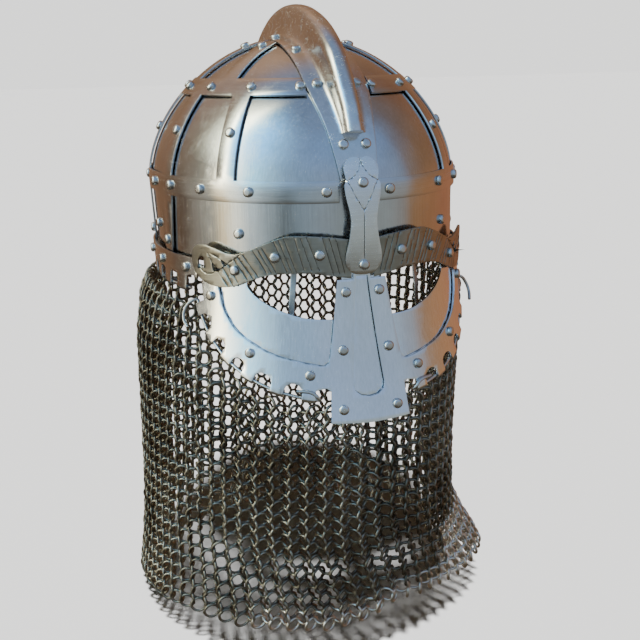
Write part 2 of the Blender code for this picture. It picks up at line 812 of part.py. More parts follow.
BAR_HALF_WIDTH = 2.3
BAR_SHEET = 1.0
BAR_ROWS = (
    (-40.0, -2.8),
    (-45.5, -2.8),
    (-51.0, -8.0),
    (-66.0, -8.0),
    (-80.0, -8.0),
    (-88.0, -0.7),
    (-94.0, -0.7),
)


def build_eye_bar(name, hand, top_across, foot_across, parts, material):
    """A flat bar from inside the bowl's front edge to the mask below the eye, standing clear between."""
    lean = (foot_across - top_across) / (BAR_ROWS[-1][0] - BAR_ROWS[0][0])

    def place(side, row):
        z, lift = row
        across = top_across + lean * (z - BAR_ROWS[0][0]) + side * BAR_HALF_WIDTH
        return bend(hand * across, z, lift)

    bm = surface((-1.0, 1.0), BAR_ROWS, lambda column, row: True, place)
    bar = new_object(name, bm, parts, material)
    thicken(bar, BAR_SHEET)


# The mail curtain: one closed wall where the rings hang ------------------------------------------------

# Its top edge hangs from the mask's tabs and the rim band's: (angle, height).
MAIL_TOP = (
    (0.0, -129.0),
    (12.0, -129.5),
    (18.0, -132.0),
    (27.0, -128.5),
    (35.5, -122.5),
    (43.5, -115.0),
    (49.5, -109.5),
    (54.5, -96.5),
    (58.0, -85.5),
    (61.0, -72.0),
    (65.0, -70.5),
)
# Half width on the wearer's right and left, and reach at the front and the back, for each height.
MAIL_SECTIONS = (
    (-70.0, 110.0, 107.5, 131.0, 127.5),
    (-84.0, 115.0, 107.5, 135.5, 129.0),
    (-113.0, 119.0, 105.0, 138.0, 131.0),
    (-150.0, 120.0, 102.5, 138.0, 132.0),
    (-200.0, 120.5, 101.0, 136.5, 133.0),
    (-240.0, 122.0, 101.5, 135.0, 135.0),
    (-270.0, 125.0, 105.0, 134.0, 138.0),
    (-320.0, 131.0, 114.0, 133.0, 142.0),
)
# The height of the hem: it steps up on the left of the front, and hangs lower at the back.
MAIL_HEM = (
    (-180.0, -318.0),
    (-135.0, -316.0),
    (-100.0, -310.0),
    (-80.0, -302.0),
    (-55.0, -293.5),
    (-40.0, -296.5),
    (-12.0, -296.5),
    (0.0, -291.0),
    (12.0, -280.5),
    (22.0, -282.5),
    (45.0, -289.0),
    (62.0, -289.0),
    (90.0, -298.0),
    (135.0, -312.0),
    (180.0, -318.0),
)
MAIL_SHARES = (0.0, 0.12, 0.3, 0.5, 0.68, 0.84, 1.0)
# Below this height it hangs in waves, and in one deep fold.
MAIL_LOOSE_FROM = -225.0
MAIL_LOOSE_OVER = 75.0
MAIL_WAVES = 5.0
MAIL_WAVE = 0.015
MAIL_FOLD_ANGLE = 66.0
MAIL_FOLD_WIDTH = 24.0
MAIL_FOLD = 23.0


def between(table, value):
    """A table's row at a value of its first column, drawn straight between the rows that it holds."""
    rows = sorted(table)
    value = min(max(value, rows[0][0]), rows[-1][0])
    for low, high in zip(rows, rows[1:]):
        if value <= high[0]:
            share = (value - low[0]) / (high[0] - low[0])
            return [a + share * (b - a) for a, b in zip(low, high)]
    return list(rows[-1])


def mail_place(t, share):
    """The middle of the mail's wall at an angle and a share of the way from its top edge to its hem."""
    top = between(MAIL_TOP, abs(t))[1]
    z = top + share * (between(MAIL_HEM, t)[1] - top)
    _, right, left, front, back = between(MAIL_SECTIONS, z)
    turn = math.radians(t)
    loose = ease((MAIL_LOOSE_FROM - z) / MAIL_LOOSE_OVER)
    fold = MAIL_FOLD * loose * math.exp(-(((t - MAIL_FOLD_ANGLE) / MAIL_FOLD_WIDTH) ** 2))
    wave = 1.0 + loose * MAIL_WAVE * math.sin(MAIL_WAVES * turn)
    wide = (left if t > 0.0 else right) * wave
    deep = (front if abs(t) < 90.0 else back) * wave
    out = Vector((math.sin(turn), -math.cos(turn), 0.0))
    flat = Vector((wide * math.sin(turn), -deep * math.cos(turn), z - RISE + BOWL_SHEET))
    return (flat + fold * out) * MM


def build_mail(parts, material):
    side = [t for t, _ in MAIL_TOP[1:]] + [73.0, 82.0, 94.0, 106.0, 118.0, 130.0, 143.0, 156.0, 168.0]
    columns = [-180.0, *(-t for t in reversed(side)), 0.0, *side, 180.0]
    bm = surface(columns, MAIL_SHARES, lambda column, row: True, mail_place)
    mail = new_object("mail_aventail", bm, parts, material)
    thicken(mail, MAIL_WALL)


# The whole helmet --------------------------------------------------------------------------------------


def build_helmet():
    clear_scene()
    parts = new_collection("viking_helmet")
    cutters = new_collection("cutters")
    steel = new_material("bowl_steel", (0.52, 0.54, 0.57), 0.32, 1.0)
    openwork = new_material("openwork_steel", (0.55, 0.56, 0.58), 0.3, 1.0)
    crest = new_material("crest_steel", (0.58, 0.58, 0.58), 0.28, 1.0)
    brass_tint = new_material("brow_steel", (0.42, 0.38, 0.31), 0.38, 1.0)
    mask = new_material("mask_steel", (0.62, 0.65, 0.69), 0.3, 1.0)
    wire_steel = new_material("wire_steel", (0.6, 0.58, 0.55), 0.35, 1.0)
    oiled = new_material("mail_steel", (0.2, 0.18, 0.15), 0.45, 1.0)
    build_bowl(parts, cutters, steel)
    build_frame("frame_left", 1.0, parts, cutters, openwork)
    build_frame("frame_right", -1.0, parts, cutters, openwork)
    build_comb(parts, cutters, crest)
    build_rim(parts, cutters, openwork)
    build_rim_wire(parts, wire_steel)
    build_nasal_strip(parts, cutters, brass_tint)
    build_brow("brow_left", 1.0, parts, cutters, brass_tint)
    build_brow("brow_right", -1.0, parts, cutters, brass_tint)
    build_mask_plate(parts, mask)
    build_mask_frame(parts, cutters, mask)
    build_mask_wire("mask_wire_left", 1.0, parts, wire_steel)
    build_mask_wire("mask_wire_right", -1.0, parts, wire_steel)
    build_eye_bar("eye_bar_left", 1.0, 60.8, 58.0, parts, steel)
    build_eye_bar("eye_bar_right", -1.0, 47.5, 52.5, parts, steel)
    build_mail(parts, oiled)


build_helmet()
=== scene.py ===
"""The looks of a Viking-age spectacle helmet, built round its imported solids.

Blender units are metres, +Z is up, the wearer faces -Y and has the left hand at +X. The sizes below are in
millimetres and are turned to metres where a piece is put in place.
"""

import math
import random

import bpy
from mathutils import Matrix, Vector


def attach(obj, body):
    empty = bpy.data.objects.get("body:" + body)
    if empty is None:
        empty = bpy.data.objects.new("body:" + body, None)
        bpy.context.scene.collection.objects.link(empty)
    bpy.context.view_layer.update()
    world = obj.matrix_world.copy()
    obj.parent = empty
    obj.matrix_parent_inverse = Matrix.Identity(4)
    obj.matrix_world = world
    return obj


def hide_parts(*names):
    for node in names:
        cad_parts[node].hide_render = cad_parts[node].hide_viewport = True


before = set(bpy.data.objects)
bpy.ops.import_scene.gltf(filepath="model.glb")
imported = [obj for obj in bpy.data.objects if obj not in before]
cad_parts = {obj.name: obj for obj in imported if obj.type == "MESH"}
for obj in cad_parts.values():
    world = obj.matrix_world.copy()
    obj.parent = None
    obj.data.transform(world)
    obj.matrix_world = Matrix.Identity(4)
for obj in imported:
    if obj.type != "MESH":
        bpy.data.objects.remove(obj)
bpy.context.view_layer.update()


# The bowl ----------------------------------------------------------------------------------------------
#
# One sheet of steel 1.6 mm thick, raised with a hammer into a tall dome and planished smooth, then brushed
# with fine grit. Its edge is cut away over the face. Everything else is riveted over it, so its wall is also
# the measure that the other sheets are bent to.

MM = 0.001
HALF_WIDTH = 105.0
HALF_LENGTH = 126.0
RISE = 92.0
CROWN_POWER = 1.7
BOWL_SHEET = 1.6
BOWL_EDGE = -60.0
BOWL_EDGE_STEP = 4.33
FACE_CUT_ROWS = 3
WALL_HEIGHTS = (-40.0, -30.0, -20.0, -10.0)
TUCK = 3.0
# Below this height the face's wall flares out: by how much over the depth, straight and then more steeply.
FLARE_TOP = -50.0
FLARE_DEPTH = 90.0
FLARE_STRAIGHT = 10.0
FLARE_STEEP = 7.0
FACE_END = 60.0
SIDE_START = 95.0
BOWL_AROUND = 120
BOWL_UP = 34
# The edge that a file leaves, and in degrees, which corners it breaks and which are smooth.
FILED_EDGE = 0.22
FILED_CORNER = 50.0
SMOOTH_CORNER = 38.0
SMOOTH_RIVET = 55.0
MEETING = 1e-6
# How much the brushing changes along each axis: its lines run along the ones with small numbers.
NO_GRAIN = (1.0, 1.0, 1.0)
UPRIGHT_GRAIN = (1.0, 1.0, 0.03)
LEVEL_GRAIN = (0.05, 0.05, 1.0)
# The steel's patterns: how fine each one is, its detail, and how it is stretched.
TARNISH = (22.0, 5.0)
BRUSHING = (900.0, 3.0)
BLOTCHES = (110.0, 6.0)
WAVINESS = (34.0, 2.0)
LONG_SCRATCHES = (60.0, 1.0, (1.0, 3.2, 1.4))
FINE_SCRATCHES = (75.0, 1.0, (2.6, 1.0, 1.9))
LONG_SCRATCH_WIDTH = 0.006
FINE_SCRATCH_WIDTH = 0.003
# The dark that marked grooves are painted with. The cut lines are darker in their grooves. Along the mask
# frame's inner edges it is a painted shadow of the gap under the frame.
GROOVE_DARK_AND_GAP_SHADOW = (0.05, 0.042, 0.034, 1.0)
RIVET_RADIUS = 3.3
RIVET_COLLAR = 1.2
RIVET_SIDES = 20
# The dome over the collar: how far each step is drawn in, and how far it is raised.
RIVET_DOME = ((0.12, 0.42), (0.42, 0.52), (0.72, 0.38), (0.72, 0.08))
# How far each head is turned from the one before, and tipped, in radians.
RIVET_TURN = 1.7
RIVET_TIP = 0.05
# How far the collar's middle is off the sheet.
RIVET_REST = 0.45
BOWL_RIVET_REST = 0.55
BOWL_RIVETS = ((41.0, -26.8), (88.0, -30.0), (-41.0, -26.8), (-88.0, -30.0))


def ease(value):
    """0 below 0, 1 above 1, and a smooth step between."""
    value = min(max(value, 0.0), 1.0)
    return value * value * (3.0 - 2.0 * value)


def shrink(z):
    """The bowl's width at a height, as a share of its width at the middle band."""
    return math.sqrt(max(0.0, 1.0 - (max(z, 0.0) / RISE) ** CROWN_POWER))


def growth(t, z):
    """What the wall below the middle band adds to the bowl's half width and half length."""
    below = max(0.0, (FLARE_TOP - z) / FLARE_DEPTH)
    flare = FLARE_STRAIGHT * below + FLARE_STEEP * below**2
    side = ease((abs(t) - FACE_END) / (SIDE_START - FACE_END))
    depth = min(max(z / BOWL_EDGE, 0.0), 1.0)
    return flare * (1.0 - side) - TUCK * side * depth


def outward(t, z):
    """The direction away from the bowl at an angle from the nose line and a height."""
    t = (t + 180.0) % 360.0 - 180.0
    turn = math.radians(t)
    grown = growth(t, z) if z < 0.0 else 0.0
    x = math.sin(turn) * shrink(z) / (HALF_WIDTH + grown)
    y = -math.cos(turn) * shrink(z) / (HALF_LENGTH + grown)
    up = 0.5 * CROWN_POWER * (max(z, 0.0) / RISE) ** (CROWN_POWER - 1.0) / RISE
    return Vector((x, y, up)).normalized()


def skin(t, z, lift):
    """The place at an angle and a height from the middle band, lifted off the bowl's outer face."""
    t = (t + 180.0) % 360.0 - 180.0
    turn = math.radians(t)
    grown = growth(t, z) if z < 0.0 else 0.0
    x = (HALF_WIDTH + grown) * shrink(z) * math.sin(turn)
    y = -(HALF_LENGTH + grown) * shrink(z) * math.cos(turn)
    return (Vector((x, y, z - RISE + BOWL_SHEET)) + lift * outward(t, z)) * MM


def crown_height(share):
    """The height at a share of the way up the dome, in steps that shorten toward the crown."""
    return RISE * math.sin(0.5 * math.pi * share) ** (2.0 / CROWN_POWER)


def pick(item):
    """Makes one object the only selected one."""
    bpy.ops.object.select_all(action="DESELECT")
    item.select_set(True)
    bpy.context.view_layer.objects.active = item


def choose_faces(sheet, wanted):
    """Selects the faces that pass a test and nothing else, and says whether there are any."""
    for part in (*sheet.data.vertices, *sheet.data.edges):
        part.select = False
    for face in sheet.data.polygons:
        face.select = wanted(face)
    return any(face.select for face in sheet.data.polygons)


def ruled_sheet(name, across, up, kept):
    """A flat sheet ruled into cells, without the cells that aren't kept."""

    def dropped(face):
        column = int((face.center.x + 0.5) * across)
        row = int((face.center.y + 0.5) * up)
        return not kept(column, row)

    bpy.ops.object.select_all(action="DESELECT")
    bpy.ops.mesh.primitive_grid_add(x_subdivisions=across, y_subdivisions=up, size=1.0)
    sheet = bpy.context.object
    sheet.name = name
    choose_faces(sheet, dropped)
    bpy.ops.object.mode_set(mode="EDIT")
    bpy.ops.mesh.select_mode(type="FACE")
    bpy.ops.mesh.delete(type="FACE")
    bpy.ops.mesh.select_mode(type="VERT")
    bpy.ops.object.mode_set(mode="OBJECT")
    for point in sheet.data.vertices:
        point.co.x = round((point.co.x + 0.5) * across)
        point.co.y = round((point.co.y + 0.5) * up)
    return sheet


def close_up(sheet):
    """Joins the points that meet, and turns all the faces outward."""
    pick(sheet)
    bpy.ops.object.mode_set(mode="EDIT")
    bpy.ops.mesh.select_all(action="SELECT")
    bpy.ops.mesh.remove_doubles(threshold=MEETING)
    bpy.ops.mesh.normals_make_consistent(inside=False)
    bpy.ops.object.mode_set(mode="OBJECT")


def sheet_metal(sheet, thickness, edge=FILED_EDGE):
    """Gives a bent surface its thickness, half to each side, and breaks its sharp edges with a file."""
    pick(sheet)
    wall = sheet.modifiers.new("Sheet", "SOLIDIFY")
    wall.thickness = thickness * MM
    wall.offset = 0.0
    wall.use_even_offset = True
    bpy.ops.object.modifier_apply(modifier=wall.name)
    filed = sheet.modifiers.new("Filed", "BEVEL")
    filed.width = edge * MM
    filed.segments = 2
    filed.limit_method = "ANGLE"
    filed.angle_limit = math.radians(FILED_CORNER)
    bpy.ops.object.modifier_apply(modifier=filed.name)
    bpy.ops.object.shade_smooth_by_angle(angle=math.radians(SMOOTH_CORNER))


def feed(socket, value):
    """Links a node's socket to another node's, or sets the value that it holds."""
    if isinstance(value, bpy.types.NodeSocket):
        socket.id_data.links.new(value, socket)
    else:
        socket.default_value = value


def mixed(nodes, blend, share, first, second):
    """Two colors, or a color and another socket, mixed in one node."""
    node = nodes.new("ShaderNodeMix")
    node.data_type = "RGBA"
    node.blend_type = blend
    feed(node.inputs["Factor"], share)
    feed(node.inputs["A"], first)
    feed(node.inputs["B"], second)
    return node.outputs["Result"]


def brushed_steel(name, tone, warm, rough, grain, grit=0.03, marks=0.0):
    """Steel brushed along its grain, with a little tarnish, finger marks and scratches."""
    steel = bpy.data.materials.new(name)
    steel.use_nodes = True
    nodes = steel.node_tree.nodes
    links = steel.node_tree.links
    shader = nodes["Principled BSDF"]
    shader.inputs["Metallic"].default_value = 1.0
    shader.inputs["Anisotropic"].default_value = 0.35
    place = nodes.new("ShaderNodeTexCoord")

    def noise(scale, detail, stretch=NO_GRAIN):
        mapping = nodes.new("ShaderNodeMapping")
        mapping.inputs["Scale"].default_value = stretch
        links.new(place.outputs["Object"], mapping.inputs["Vector"])
        texture = nodes.new("ShaderNodeTexNoise")
        texture.inputs["Scale"].default_value = scale
        texture.inputs["Detail"].default_value = detail
        texture.inputs["Roughness"].default_value = 0.6
        links.new(mapping.outputs["Vector"], texture.inputs["Vector"])
        return texture.outputs["Fac"]

    def ramp(value, *stops):
        node = nodes.new("ShaderNodeValToRGB")
        while len(node.color_ramp.elements) < len(stops):
            node.color_ramp.elements.new(0.5)
        for element, (where, color) in zip(node.color_ramp.elements, stops):
            element.position = where
            element.color = (*color, 1.0)
        links.new(value, node.inputs["Fac"])
        return node.outputs["Color"]

    def grey(level):
        return (level, level, level)

    def thin_lines(value, width):
        return ramp(value, (0.5 - width, grey(0.0)), (0.5, grey(1.0)), (0.5 + width, grey(0.0)))

    tarnish = noise(*TARNISH)
    brushing = noise(*BRUSHING, grain)
    blotches = noise(*BLOTCHES)
    color = ramp(tarnish, (0.32, warm), (0.62, tone))
    streaks = ramp(brushing, (0.25, grey(0.86)), (0.75, grey(1.0)))
    color = mixed(nodes, "MULTIPLY", 1.0, color, streaks)
    # Marked grooves take the dark color: painted shadow along the mask frame's edges, and darker grooves in
    # the cut lines.
    groove = nodes.new("ShaderNodeAttribute")
    groove.attribute_name = "groove"
    color = mixed(nodes, "MIX", groove.outputs["Fac"], color, GROOVE_DARK_AND_GAP_SHADOW)
    rough_at = ramp(brushing, (0.2, grey(rough - 0.05)), (0.8, grey(rough + 0.06)))
    dull = ramp(blotches, (0.5, grey(0.0)), (0.75, grey(0.7)))
    rough_at = mixed(nodes, "ADD", 0.16, rough_at, dull)
    height = ramp(brushing, (0.0, grey(0.0)), (1.0, grey(1.0)))
    if marks:
        long_ones = thin_lines(noise(*LONG_SCRATCHES), LONG_SCRATCH_WIDTH)
        fine_ones = thin_lines(noise(*FINE_SCRATCHES), FINE_SCRATCH_WIDTH)
        scratch = mixed(nodes, "LIGHTEN", 1.0, long_ones, fine_ones)
        where = ramp(blotches, (0.5, grey(0.0)), (0.62, grey(1.0)))
        scratch = mixed(nodes, "MULTIPLY", 1.0, scratch, where)
        color = mixed(nodes, "SCREEN", marks, color, scratch)
        rough_at = mixed(nodes, "ADD", marks, rough_at, scratch)
    links.new(color, shader.inputs["Base Color"])
    links.new(rough_at, shader.inputs["Roughness"])
    bump = nodes.new("ShaderNodeBump")
    bump.inputs["Strength"].default_value = grit
    bump.inputs["Distance"].default_value = 0.0004
    links.new(height, bump.inputs["Height"])
    waves = nodes.new("ShaderNodeBump")
    waves.inputs["Strength"].default_value = 0.05
    waves.inputs["Distance"].default_value = 0.002
    links.new(noise(*WAVINESS), waves.inputs["Height"])
    links.new(waves.outputs["Normal"], bump.inputs["Normal"])
    links.new(bump.outputs["Normal"], shader.inputs["Normal"])
    return steel


bowl_steel = brushed_steel("bowl_steel", (0.64, 0.64, 0.64), (0.54, 0.52, 0.50), 0.15, UPRIGHT_GRAIN)
rivet_steel = brushed_steel("rivet_steel", (0.70, 0.69, 0.67), (0.58, 0.56, 0.52), 0.26, NO_GRAIN)


def rivet_head():
    """A domed head 6.6 mm across that stands 2.5 mm proud, closed with a snap that leaves a flat on top."""
    bpy.ops.object.select_all(action="DESELECT")
    bpy.ops.mesh.primitive_cylinder_add(
        vertices=RIVET_SIDES, radius=RIVET_RADIUS * MM, depth=RIVET_COLLAR * MM
    )
    head = bpy.context.object
    head.name = "rivet_head"
    choose_faces(head, lambda face: face.normal.z > 0.9)
    bpy.ops.object.mode_set(mode="EDIT")
    for inset, raised in RIVET_DOME:
        bpy.ops.mesh.inset(thickness=inset * MM, depth=raised * MM)
    bpy.ops.object.mode_set(mode="OBJECT")
    bpy.ops.object.shade_smooth_by_angle(angle=math.radians(SMOOTH_RIVET))
    head.data.materials.append(rivet_steel)
    return head


rivet_model = rivet_head()


def set_rivets(sheet, spots):
    """Copies the rivet head to each (place, direction), turned its own way, and joins it to the sheet."""
    heads = []
    for number, (place, direction) in enumerate(spots):
        head = rivet_model.copy()
        head.data = rivet_model.data.copy()
        bpy.context.collection.objects.link(head)
        turn = direction.to_track_quat("Z", "Y").to_matrix().to_4x4()
        turn = turn @ Matrix.Rotation(RIVET_TURN * number, 4, "Z")
        turn = turn @ Matrix.Rotation(RIVET_TIP * math.sin(number), 4, "X")
        head.data.transform(Matrix.Translation(place) @ turn)
        heads.append(head)
    bpy.ops.object.select_all(action="DESELECT")
    for head in heads:
        head.select_set(True)
    sheet.select_set(True)
    bpy.context.view_layer.objects.active = sheet
    bpy.ops.object.join()


def spots_on(places, lift):
    """Where rivets stand at each (angle, height), lifted off the bowl: (place, direction) pairs."""
    return [(skin(t, z, lift), outward(t, z)) for t, z in places]


bowl_heights = [BOWL_EDGE + BOWL_EDGE_STEP * i for i in range(FACE_CUT_ROWS + 1)]
bowl_heights += WALL_HEIGHTS
bowl_heights += [crown_height(i / BOWL_UP) for i in range(BOWL_UP + 1)]


def bowl_cell(column, row):
    """All of the bowl but the lowest rows over the face."""
    middle = (column + 0.5) * 360.0 / BOWL_AROUND
    return row >= FACE_CUT_ROWS or min(middle, 360.0 - middle) > FACE_END + 2.0


skull_bowl = ruled_sheet("bowl", BOWL_AROUND, len(bowl_heights) - 1, bowl_cell)
for point in skull_bowl.data.vertices:
    height = bowl_heights[round(point.co.y)]
    point.co = skin(point.co.x * 360.0 / BOWL_AROUND, height, -0.5 * BOWL_SHEET)
close_up(skull_bowl)
sheet_metal(skull_bowl, BOWL_SHEET)
skull_bowl.data.materials.append(bowl_steel)
set_rivets(skull_bowl, spots_on(BOWL_RIVETS, BOWL_RIVET_REST))
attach(skull_bowl, "root")
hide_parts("skull_bowl")


# The openwork ------------------------------------------------------------------------------------------
#
# Two sheets, one for each side of the bowl, each pierced so that bands and straps about 13 mm wide are left.
# They are bent over the bowl and riveted through it, with a small gap below them where the shadow gathers.

HANDS = (("left", 1.0), ("right", -1.0))
SHEET = 1.3
# How far the middle of each layer of plates is off the bowl's outer face.
FIRST_LAYER = 1.5
SECOND_LAYER = 3.45
THIRD_LAYER = 5.2
FOURTH_LAYER = 6.9
STRAP_WIDTH = 13.5
STRAP_HALF_ANGLE = 3.0
UPPER_BAND = (55.5, 65.5)
MIDDLE_BAND = (-7.0, 6.2)
MIDDLE_STRAPS = (45.0, 74.0, 100.0, 135.0)
UPPER_STRAPS = (57.0, 90.0, 124.0)
LOWER_STRAPS = (74.0, 100.0, 135.0)
LOWER_STRAP_LEAN = 2.0
FRAME_FRONT = 6.8
FRAME_BACK = 173.2
# Above this height the sheet is cut off straight, this far from the middle.
FRAME_END_FROM = 50.5
FRAME_END_ACROSS = 21.4
# Its rows: a height, and which straps stand between it and the next one, or None for a band all round.
FRAME_ROWS = (
    (-47.0, LOWER_STRAPS),
    (MIDDLE_BAND[0], None),
    (MIDDLE_BAND[1], MIDDLE_STRAPS),
    (UPPER_BAND[0], None),
    (UPPER_BAND[1], UPPER_STRAPS),
    (88.3, UPPER_STRAPS),
    (91.6, ()),
)
FRAME_FILL = (15.5, 24.5, 33.0, 65.5, 112.0, 147.0, 155.5, 164.5)
UPPER_BAND_RIVETS = (18.0, 41.5, 66.0, 90.0, 113.0, 138.0, 162.0)
MIDDLE_BAND_RIVETS = (11.0, 36.4, 55.0, 71.0, 84.6, 108.0, 125.0, 144.0, 169.0)
# The rivets' rows: a height, and the angles along it.
OPENWORK_RIVETS = (
    (60.5, UPPER_BAND_RIVETS),
    (0.0, MIDDLE_BAND_RIVETS),
    (33.7, MIDDLE_STRAPS),
    (-37.5, LOWER_STRAPS),
    (85.5, UPPER_STRAPS),
)
CELL_ANGLE = 3.5
CELL_HEIGHT = 4.0


def strap_edge(t, z, side):
    """The angle of a strap's edge at a height: side is -1 or 1, or 0 for its centre line."""
    turn = math.radians(t)
    reach = math.hypot(HALF_WIDTH * math.cos(turn), HALF_LENGTH * math.sin(turn)) * shrink(z)
    return t + side * math.degrees(0.5 * STRAP_WIDTH / reach)


def strap_lean(z):
    """How far the lower straps lean back at a height, as an angle round the bowl."""
    fall = MIDDLE_BAND[0] - FRAME_ROWS[0][0]
    return LOWER_STRAP_LEAN * max(0.0, MIDDLE_BAND[0] - z) / fall


def edge_angle(line, z):
    """The angle at a height of a line of points that follows a strap's edge."""
    t, side, upper = line
    level = max(z, UPPER_BAND[0]) if upper else min(z, UPPER_BAND[0])
    return strap_edge(t, level, side) + strap_lean(z)


def on_plate(layer):
    """How far off the bowl the rivets stand on a plate of a layer."""
    return layer + 0.5 * SHEET + RIVET_REST


def split(values, step):
    """Each gap of a rising list cut into equal parts no longer than the step: (index, share) pairs."""
    parts = []
    for i in range(len(values) - 1):
        count = max(1, math.ceil((values[i + 1] - values[i]) / step))
        parts += [(i, k / count) for k in range(count)]
    return parts + [(len(values) - 2, 1.0)]


frame_lines = [(t, 0, False) for t in (FRAME_FRONT, *FRAME_FILL, FRAME_BACK)]
frame_lines += [(t, side, False) for t in MIDDLE_STRAPS for side in (-1, 1)]
frame_lines += [(t, side, True) for t in UPPER_STRAPS for side in (-1, 1)]
frame_lines.sort(key=lambda line: line[0] + STRAP_HALF_ANGLE * line[1])
frame_columns = split([t + STRAP_HALF_ANGLE * side for t, side, _ in frame_lines], CELL_ANGLE)
frame_heights = split([z for z, _ in FRAME_ROWS], CELL_HEIGHT)


def frame_cell(column, row):
    """The bands' cells, and of the rows between them only the straps'."""
    t, side, _ = frame_lines[frame_columns[column][0]]
    straps = FRAME_ROWS[frame_heights[row][0]][1]
    return straps is None or (side == -1 and t in straps)


def openwork(name, hand):
    """One side's sheet, cut off straight beside the comb at its top."""

    def beside_comb(face):
        lowest = min(sheet.data.vertices[i].co.z for i in face.vertices)
        return lowest > (FRAME_END_FROM - RISE) * MM

    sheet = ruled_sheet(name, len(frame_columns) - 1, len(frame_heights) - 1, frame_cell)
    for point in sheet.data.vertices:
        line, share = frame_columns[round(point.co.x)]
        row, part = frame_heights[round(point.co.y)]
        z = FRAME_ROWS[row][0] + part * (FRAME_ROWS[row + 1][0] - FRAME_ROWS[row][0])
        t = edge_angle(frame_lines[line], z)
        t += share * (edge_angle(frame_lines[line + 1], z) - t)
        point.co = skin(hand * t, z, FIRST_LAYER)
    pick(sheet)
    choose_faces(sheet, beside_comb)
    bpy.ops.object.mode_set(mode="EDIT")
    bpy.ops.mesh.select_mode(type="FACE")
    line = (hand * FRAME_END_ACROSS * MM, 0.0, 0.0)
    bpy.ops.mesh.bisect(plane_co=line, plane_no=(hand, 0.0, 0.0), clear_inner=True, threshold=MEETING)
    bpy.ops.mesh.select_mode(type="VERT")
    bpy.ops.object.mode_set(mode="OBJECT")
    close_up(sheet)
    sheet_metal(sheet, SHEET)
    sheet.data.materials.append(openwork_steel)
    places = [(hand * (t + strap_lean(z)), z) for z, angles in OPENWORK_RIVETS for t in angles]
    set_rivets(sheet, spots_on(places, on_plate(FIRST_LAYER)))
    return sheet


openwork_steel = brushed_steel("openwork_steel", (0.67, 0.67, 0.67), (0.57, 0.55, 0.53), 0.15, LEVEL_GRAIN)
for side_name, hand in HANDS:
    piece = openwork("openwork_" + side_name, hand)
    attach(piece, "root")
    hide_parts("frame_" + side_name)


# The comb ----------------------------------------------------------------------------------------------
#
# One long strip over the middle of the bowl, with a hollow ridge pressed up along it. The ridge rises toward
# the back of the crown and is cut off square over the brow and the nape, and its flange takes the rivets.

# Stations along the comb, from the front (0 at the middle band, 90 at the crown, 180 at the back): half width
# of the flange, half width of the ridge, and its height.
COMB_STATIONS = (
    (25.2, 15.2, 5.0, 8.0),
    (31.0, 16.5, 5.4, 10.4),
    (38.0, 18.5, 5.9, 12.2),
    (46.0, 20.3, 6.2, 15.0),
    (54.0, 20.5, 6.3, 17.8),
    (63.0, 20.5, 6.3, 19.3),
    (73.0, 20.5, 6.3, 20.0),
    (84.0, 20.5, 6.3, 20.8),
    (95.0, 20.5, 6.3, 21.5),
    (106.0, 20.5, 6.3, 22.0),
    (117.0, 20.5, 6.3, 22.1),
    (127.0, 20.3, 6.2, 21.4),
    (136.0, 19.4, 6.0, 19.2),
    (144.0, 18.0, 5.7, 15.8),
    (150.5, 16.4, 5.4, 12.2),
    (154.8, 15.2, 5.0, 8.4),
)
COMB_FRONT = 5.6
COMB_BACK = 174.4
COMB_END_HALF = 11.5
COMB_RIVETS = (
    (20.4, 7.3),
    (46.0, 13.2),
    (67.5, 14.5),
    (88.0, 16.0),
    (111.5, 15.5),
    (134.0, 13.5),
    (159.6, 7.3),
)
COMB_OVERHANG = 1.4
COMB_END_ROWS = 7
COMB_RIDGE_ROWS = 64
# A point beside the comb is let down onto the bowl in this many steps, each by how far it is still outside.
DROP_STEPS = 8
DROP_REACH = 55.0
# Across the ridge: its half width's share, a distance added to it, the height's share, a distance off it.
RIDGE_PROFILE = (
    (0.0, 0.0, 1.0, 0.0),
    (0.3, 0.0, 1.0, -0.12),
    (0.55, 0.0, 1.0, -0.5),
    (0.76, 0.0, 1.0, -1.3),
    (0.91, 0.0, 1.0, -2.6),
    (1.0, 0.0, 0.9, -3.0),
    (1.0, 0.2, 0.62, -1.0),
    (1.0, 0.5, 0.4, 0.0),
    (1.0, 1.1, 0.22, 0.0),
    (1.0, 2.0, 0.1, 0.0),
    (1.0, 3.3, 0.03, 0.0),
    (1.0, 5.0, 0.0, 0.0),
)
FLANGE_SHARES = (0.25, 0.5, 0.75, 1.0)


def smooth_between(before, start, end, after, share):
    """The row at a share of the way between two rows, on a smooth curve through all four."""
    row = []
    for p0, p1, p2, p3 in zip(before, start, end, after):
        bent = 2.0 * p0 - 5.0 * p1 + 4.0 * p2 - p3
        cubic = 3.0 * (p1 - p2) + p3 - p0
        row.append(p1 + 0.5 * share * (p2 - p0 + share * (bent + share * cubic)))
    return row


def smooth_row(table, value):
    """A table's row at a value of its first column, on a smooth curve through the rows."""
    value = min(max(value, table[0][0]), table[-1][0])
    i = max(k for k in range(len(table) - 1) if table[k][0] <= value)
    share = (value - table[i][0]) / (table[i + 1][0] - table[i][0])
    before, after = table[max(i - 1, 0)], table[min(i + 2, len(table) - 1)]
    return smooth_between(before, table[i], table[i + 1], after, share)


def comb_place(v, across, lift):
    """The place beside the comb's line: across from it, dropped onto the bowl, and lifted off it."""
    z = crown_height(1.0 - abs(90.0 - v) / 90.0)
    y = -HALF_LENGTH * math.cos(math.radians(v))
    up = outward(0.0 if v < 90.0 else 180.0, z)
    drop = 0.0
    for _ in range(DROP_STEPS):
        point = Vector((across, y, z)) - drop * up
        outside = (point.x / HALF_WIDTH) ** 2 + (point.y / HALF_LENGTH) ** 2
        outside += (max(point.z, 0.0) / RISE) ** CROWN_POWER - 1.0
        drop += outside * DROP_REACH
    point = Vector((across, y, z)) + (lift - drop) * up
    return Vector((point.x, point.y, point.z - RISE + BOWL_SHEET)) * MM


